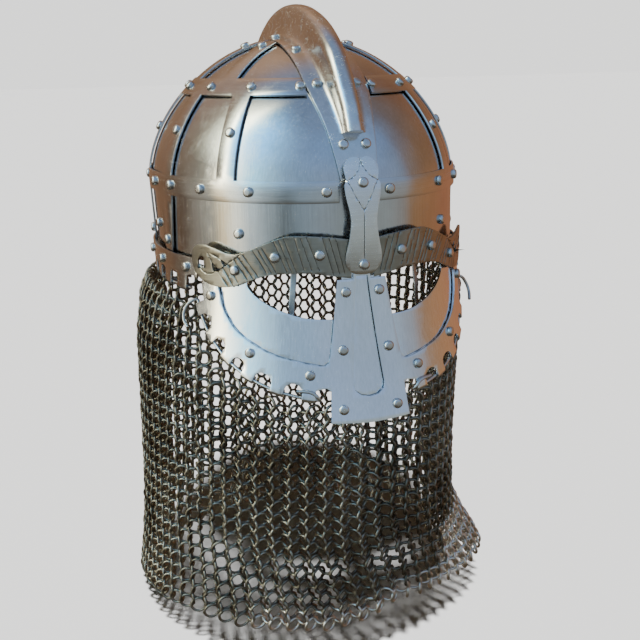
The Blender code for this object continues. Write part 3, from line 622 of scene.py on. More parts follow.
def comb_half(v, raised):
    """The strip's section from the middle outward at a station: (station, across, lift) for each point."""
    first, last = COMB_STATIONS[0], COMB_STATIONS[-1]
    _, flange, ridge, height = smooth_row(COMB_STATIONS, v)
    if v < first[0]:
        flange += (COMB_END_HALF - flange) * (first[0] - v) / (first[0] - COMB_FRONT)
    if v > last[0]:
        flange += (COMB_END_HALF - flange) * (v - last[0]) / (COMB_BACK - last[0])
    points = []
    for share, more, tall, off in RIDGE_PROFILE:
        up = max(0.0, tall * height + off) if raised else 0.0
        points.append((min(share * ridge + more, flange - 1.0), up))
    foot = points[-1][0]
    points += [(foot + share * (flange - foot), 0.0) for share in FLANGE_SHARES]
    overhang = 0.0
    if raised and v == first[0]:
        overhang = -COMB_OVERHANG / height
    if raised and v == last[0]:
        overhang = COMB_OVERHANG / height
    return [(v + overhang * up, across, FIRST_LAYER + up) for across, up in points]


def comb_run(start, end, count, raised):
    """The strip's sections from one station to another."""
    return [comb_half(start + (end - start) * i / count, raised) for i in range(count + 1)]


ridge_start, ridge_end = COMB_STATIONS[0][0], COMB_STATIONS[-1][0]
comb_rows = comb_run(COMB_FRONT, ridge_start, COMB_END_ROWS, False)
comb_rows += comb_run(ridge_start, ridge_end, COMB_RIDGE_ROWS, True)
comb_rows += comb_run(ridge_end, COMB_BACK, COMB_END_ROWS, False)
comb_side = len(comb_rows[0]) - 1
comb = ruled_sheet("comb", 2 * comb_side, len(comb_rows) - 1, lambda column, row: True)
for point in comb.data.vertices:
    column = round(point.co.x) - comb_side
    v, across, lift = comb_rows[round(point.co.y)][abs(column)]
    point.co = comb_place(v, math.copysign(across, column), lift)
close_up(comb)
sheet_metal(comb, SHEET)
CREST_GRAIN = (0.3, 0.02, 0.3)
crest_tones = ((0.74, 0.73, 0.72), (0.64, 0.62, 0.59))
crest_steel = brushed_steel("crest_steel", *crest_tones, 0.18, CREST_GRAIN, marks=0.5)
comb.data.materials.append(crest_steel)
comb_spots = []
for v, across in COMB_RIVETS:
    for side in (-1.0, 1.0):
        head = comb_place(v, side * across, on_plate(FIRST_LAYER))
        up = (head - comb_place(v, side * across, 0.0)).normalized()
        comb_spots.append((head, (up + Vector((side * across / HALF_WIDTH, 0.0, 0.0))).normalized()))
set_rivets(comb, comb_spots)
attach(comb, "root")
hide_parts("comb_crest")


# The rim band ------------------------------------------------------------------------------------------
#
# A strip round the lower edge from one eye to the other, cut into tabs with arched notches between them. Each
# tab is rolled inward round the wire that the mail hangs from, and its rivets go through bowl and openwork.

RIM_START = 57.2
RIM_TOP = -45.0
RIM_NOTCH = -58.0
RIM_TAB_END = -65.5
RIM_TABS = 24
RIM_ARCH = 6.0
RIM_RIVETS = (62.5, 80.3, 100.0, 120.0, 140.0, 160.0)
RIM_RIVET_HEIGHT = -52.0
ROLL_RADIUS = 1.95
ROLL_ANGLE = 280.0
ROLL_STEPS = 10
TAB_COLUMNS = 4
rim_cells = 2 * RIM_TABS + 1
rim_span = (360.0 - 2.0 * RIM_START) / rim_cells
rim_heights = [RIM_TOP, -48.3, -51.6, -55.0, RIM_NOTCH, -61.7, RIM_TAB_END]
rim_last = len(rim_heights) - 1
rim_notch_row = rim_heights.index(RIM_NOTCH)


def rim_cell(column, row):
    """The whole strip above the notches, and the tabs alone below."""
    return row < rim_notch_row or (column // TAB_COLUMNS) % 2 == 1


rim = ruled_sheet("rim_band", rim_cells * TAB_COLUMNS, rim_last + ROLL_STEPS, rim_cell)
for point in rim.data.vertices:
    column, row = round(point.co.x), round(point.co.y)
    t = RIM_START + rim_span * column / TAB_COLUMNS
    cell, share = divmod(column, TAB_COLUMNS)
    if row == rim_notch_row and cell % 2 == 0:
        share /= TAB_COLUMNS
        point.co = skin(t, RIM_NOTCH + RIM_ARCH * share * (1.0 - share), SECOND_LAYER)
    elif row <= rim_last:
        point.co = skin(t, rim_heights[row], SECOND_LAYER)
    else:
        turn = math.radians(ROLL_ANGLE) * (row - rim_last) / ROLL_STEPS
        down = ROLL_RADIUS * math.sin(turn)
        point.co = skin(t, RIM_TAB_END - down, SECOND_LAYER - ROLL_RADIUS * (1.0 - math.cos(turn)))
close_up(rim)
sheet_metal(rim, SHEET)
rim.data.materials.append(openwork_steel)
rim_angles = [side * t for t in RIM_RIVETS for side in (-1.0, 1.0)] + [180.0]
set_rivets(rim, spots_on([(t, RIM_RIVET_HEIGHT) for t in rim_angles], on_plate(SECOND_LAYER)))
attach(rim, "root")
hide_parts("rim_band")


# The rim wire ------------------------------------------------------------------------------------------
#
# One length of hard drawn wire 2.2 mm thick through all the rim's tabs, clipped just beyond the first and the
# last of them.

WIRE_RADIUS = 1.1
SMOOTH_WIRE = 50.0
RIM_WIRE_END = 3.0
wire_steel = brushed_steel("wire_steel", (0.80, 0.78, 0.75), (0.56, 0.52, 0.46), 0.33, NO_GRAIN)


def past_end(end, before, more):
    """The place a little further along a wire than its last point."""
    return end + more * MM * (end - before).normalized()


def drawn_wire(name, points, node):
    """A round wire on a smooth curve through the points, as a mesh with closed ends."""
    curve = bpy.data.curves.new(name, "CURVE")
    curve.dimensions = "3D"
    curve.bevel_depth = WIRE_RADIUS * MM
    curve.bevel_resolution = 3
    curve.resolution_u = 6
    curve.use_fill_caps = True
    spline = curve.splines.new("BEZIER")
    spline.bezier_points.add(len(points) - 1)
    for knot, place in zip(spline.bezier_points, points):
        knot.co = place
        knot.handle_left_type = "AUTO"
        knot.handle_right_type = "AUTO"
    piece = bpy.data.objects.new(name, curve)
    bpy.context.collection.objects.link(piece)
    pick(piece)
    bpy.ops.object.convert(target="MESH")
    bpy.ops.object.shade_smooth_by_angle(angle=math.radians(SMOOTH_WIRE))
    piece.data.materials.clear()
    piece.data.materials.append(wire_steel)
    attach(piece, "root")
    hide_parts(node)


rim_wire_points = []
for cell in range(1, rim_cells, 2):
    middle = RIM_START + rim_span * (cell + 0.5)
    inward = -ROLL_RADIUS * MM * outward(middle, RIM_TAB_END)
    for t in (middle - 0.5 * rim_span, middle, middle + 0.5 * rim_span):
        rim_wire_points.append(skin(t, RIM_TAB_END, SECOND_LAYER) + inward)
first = past_end(rim_wire_points[0], rim_wire_points[1], RIM_WIRE_END)
last = past_end(rim_wire_points[-1], rim_wire_points[-2], RIM_WIRE_END)
drawn_wire("rim_wire_round", [first, *rim_wire_points, last], "rim_wire")


# The brows ---------------------------------------------------------------------------------------------
#
# Two curved plates in the shape of beasts that face outward. Their heads are pierced, and slanting lines are
# cut in threes along their bodies. Their steel is darker and warmer than the rest, partly their own toning
# and partly a painted dark reflection, and they are riveted over the mask.

PATTERN_RADIUS = 120.0
BROW = (
    (8.0, -29.0),
    (24.0, -27.0),
    (47.0, -26.0),
    (60.0, -29.5),
    (73.0, -34.7),
    (82.0, -38.3),
    (90.2, -39.3),
    (100.8, -36.6),
    (112.3, -34.5),
    (119.0, -37.8),
    (121.2, -45.0),
    (118.8, -53.0),
    (111.7, -58.0),
    (101.2, -60.6),
    (90.0, -60.0),
    (78.8, -56.2),
    (61.7, -50.8),
    (41.3, -49.3),
    (27.6, -50.4),
    (8.0, -53.4),
)
BROW_HOLES = (
    (
        (111.8, -41.9),
        (115.0, -43.8),
        (115.8, -47.6),
        (113.4, -50.0),
        (109.4, -49.6),
        (110.6, -46.8),
        (110.2, -43.6),
    ),
    ((103.2, -45.4), (103.4, -49.4), (102.2, -51.0), (98.6, -49.6)),
    ((95.8, -42.8), (95.4, -45.4), (93.0, -47.2), (92.0, -45.0)),
)
# The cut lines: across and height at the upper end, then at the lower end.
BROW_CUTS = (
    (18.2, -28.6, 12.4, -49.8),
    (22.6, -27.4, 16.0, -49.8),
    (27.0, -27.0, 20.2, -49.6),
    (37.0, -26.6, 29.0, -47.8),
    (40.8, -27.4, 34.0, -47.6),
    (44.8, -26.8, 39.0, -47.6),
    (51.6, -27.8, 44.2, -48.0),
    (55.0, -28.4, 47.4, -48.2),
    (58.2, -29.4, 50.2, -48.6),
    (66.2, -33.4, 57.4, -48.8),
    (69.2, -34.4, 60.2, -49.6),
    (72.4, -35.6, 63.2, -50.2),
    (79.4, -39.0, 69.4, -52.2),
    (83.0, -40.8, 73.0, -53.6),
    (86.0, -42.6, 77.0, -54.4),
    (90.6, -45.8, 83.6, -57.4),
    (94.8, -48.4, 87.4, -59.2),
    (99.0, -50.8, 91.6, -59.6),
    (106.0, -40.2, 103.6, -45.0),
    (102.4, -40.4, 96.2, -42.8),
)
# The line along the beast's jaw, from under its eye back to the brow's upper edge.
BROW_JAW = (
    (114.4, -49.6),
    (111.8, -52.1),
    (108.3, -53.4),
    (104.2, -52.8),
    (99.7, -50.6),
    (94.6, -47.6),
    (88.6, -43.6),
    (81.0, -38.6),
)
BROW_RIVETS = ((28.7, -38.0), (57.7, -39.4), (86.0, -49.0))
BROW_LEAN = 0.05
BROW_FOOT = -60.0
BROW_CUT = (1.2, 0.45)
BROW_GRAIN = (0.06, 0.06, 1.0)
BURRED_EDGE = 0.3
PATTERN_STEP = 3.0
# How near to a line, to a groove or to each other a flat pattern's points may be and count as on it, and how
# straight an edge is in radians.
TOUCHING = 0.02
ON_GROOVE = 0.05
SAME_POINT = 0.01
STRAIGHT = 0.001


def brow_lift(z):
    """The brows stand further off the bowl along their upper edge than along the lower one."""
    return THIRD_LAYER + BROW_LEAN * (z - BROW_FOOT)


def bend(across, z, lift):
    """The place on the face of a point of a flat pattern, bent round at the pattern's own radius."""
    return skin(math.degrees(across / PATTERN_RADIUS), z, lift)


def rounded(points, corners=()):
    """A closed outline with three more points on a smooth curve between each two, sharp at the corners."""
    line = []
    for i, (p1, p2) in enumerate(zip(points, points[1:] + points[:1])):
        j = (i + 1) % len(points)
        p0 = p1 if i in corners else points[i - 1]
        p3 = p2 if j in corners else points[(i + 2) % len(points)]
        line += [tuple(smooth_between(p0, p1, p2, p3, share)) for share in (0.0, 0.25, 0.5, 0.75)]
    return line


def mirrored(points):
    """The same closed outline on the other side of the nose line."""
    return [(-across, z) for across, z in reversed(points)]


def both_sides(half):
    """A closed outline from its right half, which runs from the top of the nose line to its foot."""
    return [*half, *((-across, z) for across, z in reversed(half) if across > 0.0)]


def cut_faces(sheet, near, place, normal):
    """Cuts the faces that lie near a place along a plane."""
    if choose_faces(sheet, lambda face: near(face.center)):
        bpy.ops.object.mode_set(mode="EDIT")
        bpy.ops.mesh.bisect(plane_co=place, plane_no=normal, threshold=TOUCHING)
        bpy.ops.object.mode_set(mode="OBJECT")


def flat_pattern(name, outline, holes, step):
    """A plate's flat pattern, filled between its outline and its holes, and cut into cells that can bend."""
    curve = bpy.data.curves.new(name, "CURVE")
    curve.dimensions = "2D"
    curve.fill_mode = "BOTH"
    for points in (outline, *holes):
        spline = curve.splines.new("POLY")
        spline.points.add(len(points) - 1)
        for knot, (across, z) in zip(spline.points, points):
            knot.co = (across, z, 0.0, 1.0)
        spline.use_cyclic_u = True
    plate = bpy.data.objects.new(name, curve)
    bpy.context.collection.objects.link(plate)
    pick(plate)
    bpy.ops.object.convert(target="MESH")
    bpy.ops.object.mode_set(mode="EDIT")
    bpy.ops.mesh.select_mode(type="VERT")
    bpy.ops.mesh.select_all(action="SELECT")
    bpy.ops.mesh.remove_doubles(threshold=SAME_POINT)
    bpy.ops.mesh.dissolve_limited(angle_limit=STRAIGHT)
    wide = max(abs(across) for across, _ in outline)
    top = max(z for _, z in outline)
    low = min(z for _, z in outline)
    for i in range(-int(wide / step), int(wide / step) + 1):
        bpy.ops.mesh.select_all(action="SELECT")
        bpy.ops.mesh.bisect(plane_co=(i * step, 0.0, 0.0), plane_no=(1.0, 0.0, 0.0), threshold=TOUCHING)
    for i in range(int(low / step), int(top / step) + 1):
        bpy.ops.mesh.select_all(action="SELECT")
        bpy.ops.mesh.bisect(plane_co=(0.0, i * step, 0.0), plane_no=(0.0, 1.0, 0.0), threshold=TOUCHING)
    bpy.ops.object.mode_set(mode="OBJECT")
    return plate


def strokes(line):
    """A bent line as straight cuts, one after another."""
    return [(*a, *b) for a, b in zip(line, line[1:])]


def engrave(plate, cuts, width, depth):
    """Cuts V grooves into a flat pattern: three lines along each, and its middle pressed down and marked."""
    for x1, y1, x2, y2 in cuts:
        start, end = Vector((x1, y1, 0.0)), Vector((x2, y2, 0.0))
        span = (end - start).length
        along = (end - start) / span
        aside = Vector((-along.y, along.x, 0.0))

        def near(place, reach=5.0):
            step = place - start
            return abs(step.dot(aside)) < reach and -reach < step.dot(along) < span + reach

        for offset in (-0.5 * width, 0.0, 0.5 * width):
            cut_faces(plate, near, start + offset * aside, aside)
        cut_faces(plate, near, start, along)
        cut_faces(plate, near, end, along)
        for point in plate.data.vertices:
            step = point.co - start
            flat = Vector((step.x, step.y, 0.0))
            if abs(flat.dot(aside)) < ON_GROOVE and -ON_GROOVE < flat.dot(along) < span + ON_GROOVE:
                point.co.z = -depth
    marked = plate.data.attributes.new("groove", "FLOAT", "POINT")
    for point in plate.data.vertices:
        marked.data[point.index].value = -point.co.z / depth


def bend_plate(plate, lift, edge=FILED_EDGE):
    """Bends a flat pattern onto the face, at a lift for each height, and makes it a sheet."""
    for point in plate.data.vertices:
        across, z, pressed = point.co
        point.co = bend(across, z, (lift(z) if callable(lift) else lift) + pressed)
    close_up(plate)
    sheet_metal(plate, SHEET, edge)


# The brows' colors: their own darker, warmer toning, lowered further as a painted dark reflection.
brow_tones_and_reflection = ((0.42, 0.395, 0.34), (0.27, 0.245, 0.20))
brow_steel = brushed_steel("brow_steel", *brow_tones_and_reflection, 0.3, BROW_GRAIN, grit=0.05)
for side_name, hand in HANDS:
    outline = rounded(list(BROW), corners=(0, len(BROW) - 1))
    holes = [rounded(list(hole)) for hole in BROW_HOLES]
    cuts = [*BROW_CUTS, *strokes(BROW_JAW)]
    if hand < 0.0:
        outline = mirrored(outline)
        holes = [mirrored(hole) for hole in holes]
        cuts = [(-x1, y1, -x2, y2) for x1, y1, x2, y2 in cuts]
    brow = flat_pattern("brow_plate_" + side_name, outline, holes, PATTERN_STEP)
    engrave(brow, cuts, *BROW_CUT)
    bend_plate(brow, brow_lift, BURRED_EDGE)
    brow.data.materials.append(brow_steel)
    brow_spots = []
    for across, z in BROW_RIVETS:
        place = (math.degrees(hand * across / PATTERN_RADIUS), z)
        brow_spots += spots_on([place], on_plate(brow_lift(z)))
    set_rivets(brow, brow_spots)
    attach(brow, "root")
    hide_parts("brow_" + side_name)


# The nasal strip ---------------------------------------------------------------------------------------
#
# The uppermost plate, from the comb's foot down the nose between the eyes. Its head has two round lobes, each
# with a cut line below it, the lines meet in a point, and one more runs down the strip's middle.

NASAL_HALF = (
    (0.0, 16.9),
    (3.2, 18.0),
    (7.6, 17.4),
    (11.0, 14.6),
    (11.8, 11.4),
    (10.6, 5.6),
    (12.1, 3.2),
    (11.4, -3.0),
    (9.3, -11.5),
    (8.6, -19.5),
    (10.0, -29.0),
    (12.2, -39.0),
    (11.4, -45.4),
    (7.0, -50.0),
    (0.0, -51.0),
)
# Half of the line round the two lobes of its head, and of the point below them.
NASAL_LOBE = ((0.0, 15.8), (1.0, 13.2), (3.1, 9.9), (6.0, 7.2), (10.0, 5.6))
NASAL_POINT = ((10.2, 5.2), (7.3, 1.2), (4.1, -4.8), (0.0, -11.4))
NASAL_LINE = ((0.0, -12.8), (0.0, -39.0))
NASAL_RIVETS = (4.5, -44.7)
NASAL_TOP = 17.0
NASAL_LENGTH = 68.0
NASAL_BOW = 2.6
NASAL_BOW_FALL = 1.3
NASAL_CUT = (1.35, 0.55)
NASAL_EDGE = 0.5
NASAL_GRAIN = (0.05, 1.0, 1.0)


def nasal_lift(z):
    """The strip is bowed: its middle stands off, and its two ends are drawn down by their rivets."""
    share = min(max((NASAL_TOP - z) / NASAL_LENGTH, 0.0), 1.0)
    return FOURTH_LAYER + NASAL_BOW * math.sin(math.pi * share**NASAL_BOW_FALL)


nasal_outline = both_sides(list(NASAL_HALF))
notches = (NASAL_HALF[0][1], NASAL_HALF[5][1])
nasal_corners = [i for i, (across, z) in enumerate(nasal_outline) if z in notches]
nasal = flat_pattern("nasal_strip_cut", rounded(nasal_outline, nasal_corners), (), PATTERN_STEP)
nasal_cuts = [*strokes(NASAL_LOBE), *strokes(NASAL_POINT), *strokes(NASAL_LINE)]
nasal_cuts += [(-x1, y1, -x2, y2) for x1, y1, x2, y2 in nasal_cuts[:-1]]
engrave(nasal, nasal_cuts, *NASAL_CUT)
bend_plate(nasal, nasal_lift, NASAL_EDGE)
# The strip is painted brighter than the comb it lies on: a painted sheen for its cross brushing.
nasal_tones_with_sheen = ((0.95, 0.95, 0.93), (0.84, 0.81, 0.76))
nasal_steel = brushed_steel("nasal_steel", *nasal_tones_with_sheen, 0.24, NASAL_GRAIN, grit=0.04)
nasal.data.materials.append(nasal_steel)
nasal_spots = []
for z in NASAL_RIVETS:
    nasal_spots += spots_on([(0.0, z)], on_plate(nasal_lift(z)))
set_rivets(nasal, nasal_spots)
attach(nasal, "root")
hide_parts("nasal_strip")


# The mask: its under plate and the frame over it -------------------------------------------------------
#
# The under plate gives the round eye openings their rims. The frame over it, in one piece with its two legs
# beside the nose, is cut into tabs that are rolled round the mask's wires like the rim's. A thin dark line is
# painted on the under plate along the frame's inner edges: the shadow in the gap under them, and grime in the
# joint.

UNDER_PLATE_AXES = (91.5, 68.0)
UNDER_PLATE_TOP = -41.0
UNDER_PLATE_STEP = 6
UNDER_PLATE_LAST = 78
UNDER_PLATE_NOSE = ((30.0, -115.0), (20.0, -118.0), (20.0, -133.5), (0.0, -134.0))
EYE = (
    (14.0, -47.5),
    (60.0, -47.5),
    (74.0, -51.0),
    (79.5, -57.5),
    (75.5, -63.5),
    (66.0, -69.5),
    (53.0, -74.6),
    (36.0, -78.4),
    (14.0, -79.2),
)
FRAME_TOP_HALF = ((0.0, -46.5), (6.0, -46.5), (6.0, -54.4))
FRAME_WINDOW = (
    (17.4, -54.4),
    (20.6, -78.4),
    (24.0, -101.5),
    (26.0, -106.0),
    (30.5, -107.0),
    (48.7, -103.5),
    (64.7, -99.0),
    (83.8, -89.0),
    (92.0, -80.5),
    (97.0, -72.5),
    (101.2, -58.5),
)
FRAME_HORN = ((110.0, -57.0), (114.8, -58.8), (113.8, -64.0), (112.0, -71.0))
FRAME_FOOT_HALF = ((33.4, -121.8), (27.0, -120.6), (24.2, -122.5), (25.0, -142.0), (0.0, -143.0))
TONGUE_HALF = ((0.0, -52.4), (4.4, -52.4), (10.4, -119.0), (9.4, -123.2), (5.4, -126.3), (0.0, -127.3))
MASK_RIVETS = ((11.9, -62.0), (15.5, -97.6), (17.2, -133.8), (36.7, -112.3), (75.1, -100.1), (106.0, -67.3))
TAB_WIDTH = 8.2
# The arched notch between two tabs: a share of the way across it, and its depth there.
NOTCH_ARCH = ((0.03, 3.6), (0.1, 5.6), (0.27, 7.1), (0.5, 7.6), (0.73, 7.1), (0.9, 5.6), (0.97, 3.6))
TAB_ARC_CENTRE = (20.0, -50.0)
TAB_ARC_AXES = (104.5, 78.0)
TAB_ANGLES = (21.1, 34.4, 46.0, 57.0, 68.8, 80.0)
# Width and depth of the shallow groove that carries the painted gap shadow along the frame's inner edges.
JOINT_SHADOW_CUT = (1.3, 0.2)
MASK_PATTERN_STEP = 4.0
MASK_GRAIN = (1.0, 1.0, 0.05)
mask_steel = brushed_steel("mask_steel", (0.95, 0.97, 0.98), (0.87, 0.88, 0.89), 0.14, MASK_GRAIN)


def tab_arc(angle, axes):
    """The place at an angle on an ellipse round the tabs' own centre, in the flat pattern."""
    turn = math.radians(angle)
    return (TAB_ARC_CENTRE[0] + axes[0] * math.cos(turn), TAB_ARC_CENTRE[1] - axes[1] * math.sin(turn))


def mask_tabs():
    """Each tab's two corners and its direction outward, in the flat pattern."""
    tabs = []
    wide, deep = TAB_ARC_AXES
    for angle in TAB_ANGLES:
        turn = math.radians(angle)
        along = Vector((-wide * math.sin(turn), -deep * math.cos(turn))).normalized()
        out = Vector((deep * math.cos(turn), -wide * math.sin(turn))).normalized()
        middle = Vector(tab_arc(angle, TAB_ARC_AXES))
        tabs.append((middle - 0.5 * TAB_WIDTH * along, middle + 0.5 * TAB_WIDTH * along, out))
    return tabs


def tab_outline():
    """The flat outline along the mask's tabs, with an arched notch between each two."""
    tabs = mask_tabs()
    points = []
    for i, (start, end, out) in enumerate(tabs):
        points += [tuple(start), tuple(end)]
        if i + 1 == len(tabs):
            break
        out = (out + tabs[i + 1][2]).normalized()
        nearer = tabs[i + 1][0]
        for share, deep in NOTCH_ARCH:
            points.append(tuple(end.lerp(nearer, share) - deep * out))
    return points


under_corner = tab_arc(-UNDER_PLATE_STEP, UNDER_PLATE_AXES)[0]
under_angles = range(UNDER_PLATE_STEP, UNDER_PLATE_LAST + 1, UNDER_PLATE_STEP)
under_half = [(0.0, UNDER_PLATE_TOP), (under_corner, UNDER_PLATE_TOP)]
under_half += [tab_arc(angle, UNDER_PLATE_AXES) for angle in under_angles]
under_half += UNDER_PLATE_NOSE
eye = rounded(list(EYE), corners=(0, len(EYE) - 1))
eyes = (eye, mirrored(eye))
under_plate = flat_pattern("mask_under_plate", both_sides(under_half), eyes, MASK_PATTERN_STEP)
# The window's line is open: the points that would close it from its last corner to its first are left off.
window = rounded(list(FRAME_WINDOW), corners=(0, 1, len(FRAME_WINDOW) - 1))[:-3]
joint_shadow_lines = [*strokes(window[4::2]), *strokes(TONGUE_HALF[:-1])]
joint_shadow_lines += [(-x1, y1, -x2, y2) for x1, y1, x2, y2 in joint_shadow_lines]
joint_shadow_lines += strokes((TONGUE_HALF[-2], TONGUE_HALF[-1], (-TONGUE_HALF[-2][0], TONGUE_HALF[-2][1])))
# The frame's inner edges are cut as a shallow groove on the under plate and painted dark, as the shadow of
# the gap under the frame.
engrave(under_plate, joint_shadow_lines, *JOINT_SHADOW_CUT)
bend_plate(under_plate, FIRST_LAYER)
under_plate.data.materials.append(mask_steel)
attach(under_plate, "root")
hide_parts("mask_plate")

frame_outline = both_sides([*FRAME_TOP_HALF, *window, *FRAME_HORN, *tab_outline(), *FRAME_FOOT_HALF])
tongue = both_sides(list(TONGUE_HALF))
mask = flat_pattern("mask_frame_cut", frame_outline, (tongue,), MASK_PATTERN_STEP)
rolled = {}
for side in (1.0, -1.0):
    for start, end, out in mask_tabs():
        a, b, away = (Vector((side * spot.x, spot.y, 0.0)) for spot in (start, end, out))
        along = (b - a).normalized()
        for point in mask.data.vertices:
            step = point.co - a
            level = abs(step.dot(away)) < TOUCHING
            point.select = level and -TOUCHING < step.dot(along) < TAB_WIDTH + TOUCHING
        for line in mask.data.edges:
            line.select = all(mask.data.vertices[i].select for i in line.vertices)
        for face in mask.data.polygons:
            face.select = False
        before = len(mask.data.vertices)
        bpy.ops.object.mode_set(mode="EDIT")
        bpy.ops.mesh.select_mode(type="EDGE")
        step = math.radians(ROLL_ANGLE) * ROLL_RADIUS / ROLL_STEPS
        for _ in range(ROLL_STEPS):
            bpy.ops.mesh.extrude_edges_move(TRANSFORM_OT_translate={"value": step * away})
        bpy.ops.object.mode_set(mode="OBJECT")
        for point in mask.data.vertices[before:]:
            rolled[point.index] = (a, b, away)


def roll_frame(a, b, away):
    """At a tab's end on the face: the directions down its plate and off the face."""
    middle = 0.5 * (a + b)
    tip = bend(middle.x + away.x, middle.y + away.y, SECOND_LAYER)
    down = (tip - bend(middle.x, middle.y, SECOND_LAYER)).normalized()
    along = bend(b.x, b.y, SECOND_LAYER) - bend(a.x, a.y, SECOND_LAYER)
    off = down.cross(along).normalized()
    if off.dot(Vector((tip.x, tip.y, 0.0))) < 0.0:
        off.negate()
    return down, off


for point in mask.data.vertices:
    if point.index not in rolled:
        point.co = bend(point.co.x, point.co.y, SECOND_LAYER + point.co.z)
        continue
    a, b, away = rolled[point.index]
    beyond = (point.co - a).dot(away)
    crease = point.co - beyond * away
    down, off = roll_frame(a, b, away)
    turn = beyond / ROLL_RADIUS
    curl = math.sin(turn) * down - (1.0 - math.cos(turn)) * off
    point.co = bend(crease.x, crease.y, SECOND_LAYER) + ROLL_RADIUS * MM * curl
close_up(mask)
sheet_metal(mask, SHEET)
mask.data.materials.append(mask_steel)
mask_half = [(math.degrees(across / PATTERN_RADIUS), z) for across, z in MASK_RIVETS]
mask_places = [(side * t, z) for t, z in mask_half for side in (-1.0, 1.0)]
set_rivets(mask, spots_on(mask_places, on_plate(SECOND_LAYER)))
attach(mask, "root")
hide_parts("mask_frame")


# The mask's wires --------------------------------------------------------------------------------------
#
# The same drawn wire through each side's tabs. Beside the nose it is hooked up over the plate, and at the
# side its end is bent round in a loop under the brow's head.

WIRE_OUTER = ((120.5, -89.0, 8.6), (124.4, -84.0, 8.8), (125.0, -77.5, 7.4), (122.5, -73.0, 4.6))
MASK_WIRE_END = 2.5
WIRE_HOOK = ((32.2, -126.0, 4.6), (35.5, -122.8, 5.4), (45.0, -121.6, 5.4))
for side_name, hand in HANDS:
    wire_points = []
    for start, end, out in mask_tabs():
        a, b, away = (Vector((hand * spot.x, spot.y, 0.0)) for spot in (start, end, out))
        down, off = roll_frame(a, b, away)
        wire_points += [bend(spot.x, spot.y, SECOND_LAYER) - ROLL_RADIUS * MM * off for spot in (a, b)]
    first = past_end(wire_points[0], wire_points[1], MASK_WIRE_END)
    last = past_end(wire_points[-1], wire_points[-2], MASK_WIRE_END)
    outer = [bend(hand * across, z, lift) for across, z, lift in WIRE_OUTER]
    hook = [bend(hand * across, z, lift) for across, z, lift in WIRE_HOOK]
    route = [*outer, first, *wire_points, last, *hook]
    drawn_wire("mask_wire_bent_" + side_name, route, "mask_wire_" + side_name)


# The eye bars ------------------------------------------------------------------------------------------
#
# A flat bar of mild steel behind each eye, its edges filed round. It goes from inside the bowl's front edge
# down to the back of the mask, and is bent inward between them to stand clear of the eye's opening.

BAR_HALF_WIDTH = 2.3
BAR_SHEET = 1.0
# From its foot up: a height, and how far off the bowl's face the bar is there.
BAR_ROWS = (
    (-94.0, -0.7),
    (-88.0, -0.7),
    (-80.0, -8.0),
    (-66.0, -8.0),
    (-51.0, -8.0),
    (-45.5, -2.8),
    (-40.0, -2.8),
)
BAR_STEPS = 36
# The two bars: a side, how far across its top is, and how far its foot.
EYE_BARS = (("left", 1.0, 60.8, 58.0), ("right", -1.0, 47.5, 52.5))
bar_foot, bar_top = BAR_ROWS[0][0], BAR_ROWS[-1][0]
eye_steel = brushed_steel("eye_steel", (0.62, 0.61, 0.60), (0.34, 0.32, 0.29), 0.3, LEVEL_GRAIN)
for side_name, hand, top_across, foot_across in EYE_BARS:
    bar = ruled_sheet("eye_bar_filed_" + side_name, 4, BAR_STEPS, lambda column, row: True)
    for point in bar.data.vertices:
        z, lift = smooth_row(BAR_ROWS, bar_foot + (bar_top - bar_foot) * point.co.y / BAR_STEPS)
        across = top_across + (foot_across - top_across) * (bar_top - z) / (bar_top - bar_foot)
        across += BAR_HALF_WIDTH * (0.5 * point.co.x - 1.0)
        point.co = bend(hand * across, z, lift)
    close_up(bar)
    sheet_metal(bar, BAR_SHEET, BURRED_EDGE)
    bar.data.materials.append(eye_steel)
    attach(bar, "root")
    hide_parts("eye_bar_" + side_name)


# The mail ----------------------------------------------------------------------------------------------
#
# About 2,900 rings of 2 mm wire, each closed through four others, hung from the wires all round. It falls
# in a loose curtain, with a deep fold where it comes forward on the wearer's left. The steel is dark with
# oil, and the rings along the front's hem and low in the fold are brighter.

# Its top edge hangs from the mask's tabs and the rim band's: (angle, height).
MAIL_TOP = (
    (0.0, -129.0),
    (12.0, -129.5),
    (18.0, -132.0),
    (27.0, -128.5),
    (35.5, -122.5),
    (43.5, -115.0),
    (49.5, -109.5),
    (54.5, -96.5),
    (58.0, -85.5),
    (61.0, -72.0),
    (65.0, -70.5),
)
# Half width on the wearer's right and left, and reach at the front and the back, for each height.
MAIL_SECTIONS = (
    (-320.0, 131.0, 114.0, 133.0, 142.0),
    (-270.0, 125.0, 105.0, 134.0, 138.0),
    (-240.0, 122.0, 101.5, 135.0, 135.0),
    (-200.0, 120.5, 101.0, 136.5, 133.0),
    (-150.0, 120.0, 102.5, 138.0, 132.0),
    (-113.0, 119.0, 105.0, 138.0, 131.0),
    (-84.0, 115.0, 107.5, 135.5, 129.0),
    (-70.0, 110.0, 107.5, 131.0, 127.5),
)
# The height of the hem: it steps up on the left of the front, and hangs lower at the back.
MAIL_HEM = (
    (-180.0, -318.0),
    (-135.0, -316.0),
    (-100.0, -310.0),
    (-80.0, -302.0),
    (-55.0, -293.5),
    (-40.0, -296.5),
    (-12.0, -296.5),
    (0.0, -291.0),
    (12.0, -280.5),
    (22.0, -282.5),
    (45.0, -289.0),
    (62.0, -289.0),
    (90.0, -298.0),
    (135.0, -312.0),
    (180.0, -318.0),
)
MAIL_FOLD_ANGLE = 66.0
MAIL_FOLD_WIDTH = 24.0
MAIL_FOLD = 23.0
MAIL_LOOSE_BELOW = -225.0
MAIL_LOOSE_DEPTH = 75.0
MAIL_WAVES = 5.0
MAIL_WAVE = 0.015
GIRTH_STEP = 2
MAIL_START = -73.0
MAIL_END = -305.0
MAIL_ROWS = 46
MAIL_RINGS = 69
RING_RADIUS = 4.95
RING_WIRE = 0.98
RING_CHANCE = 7
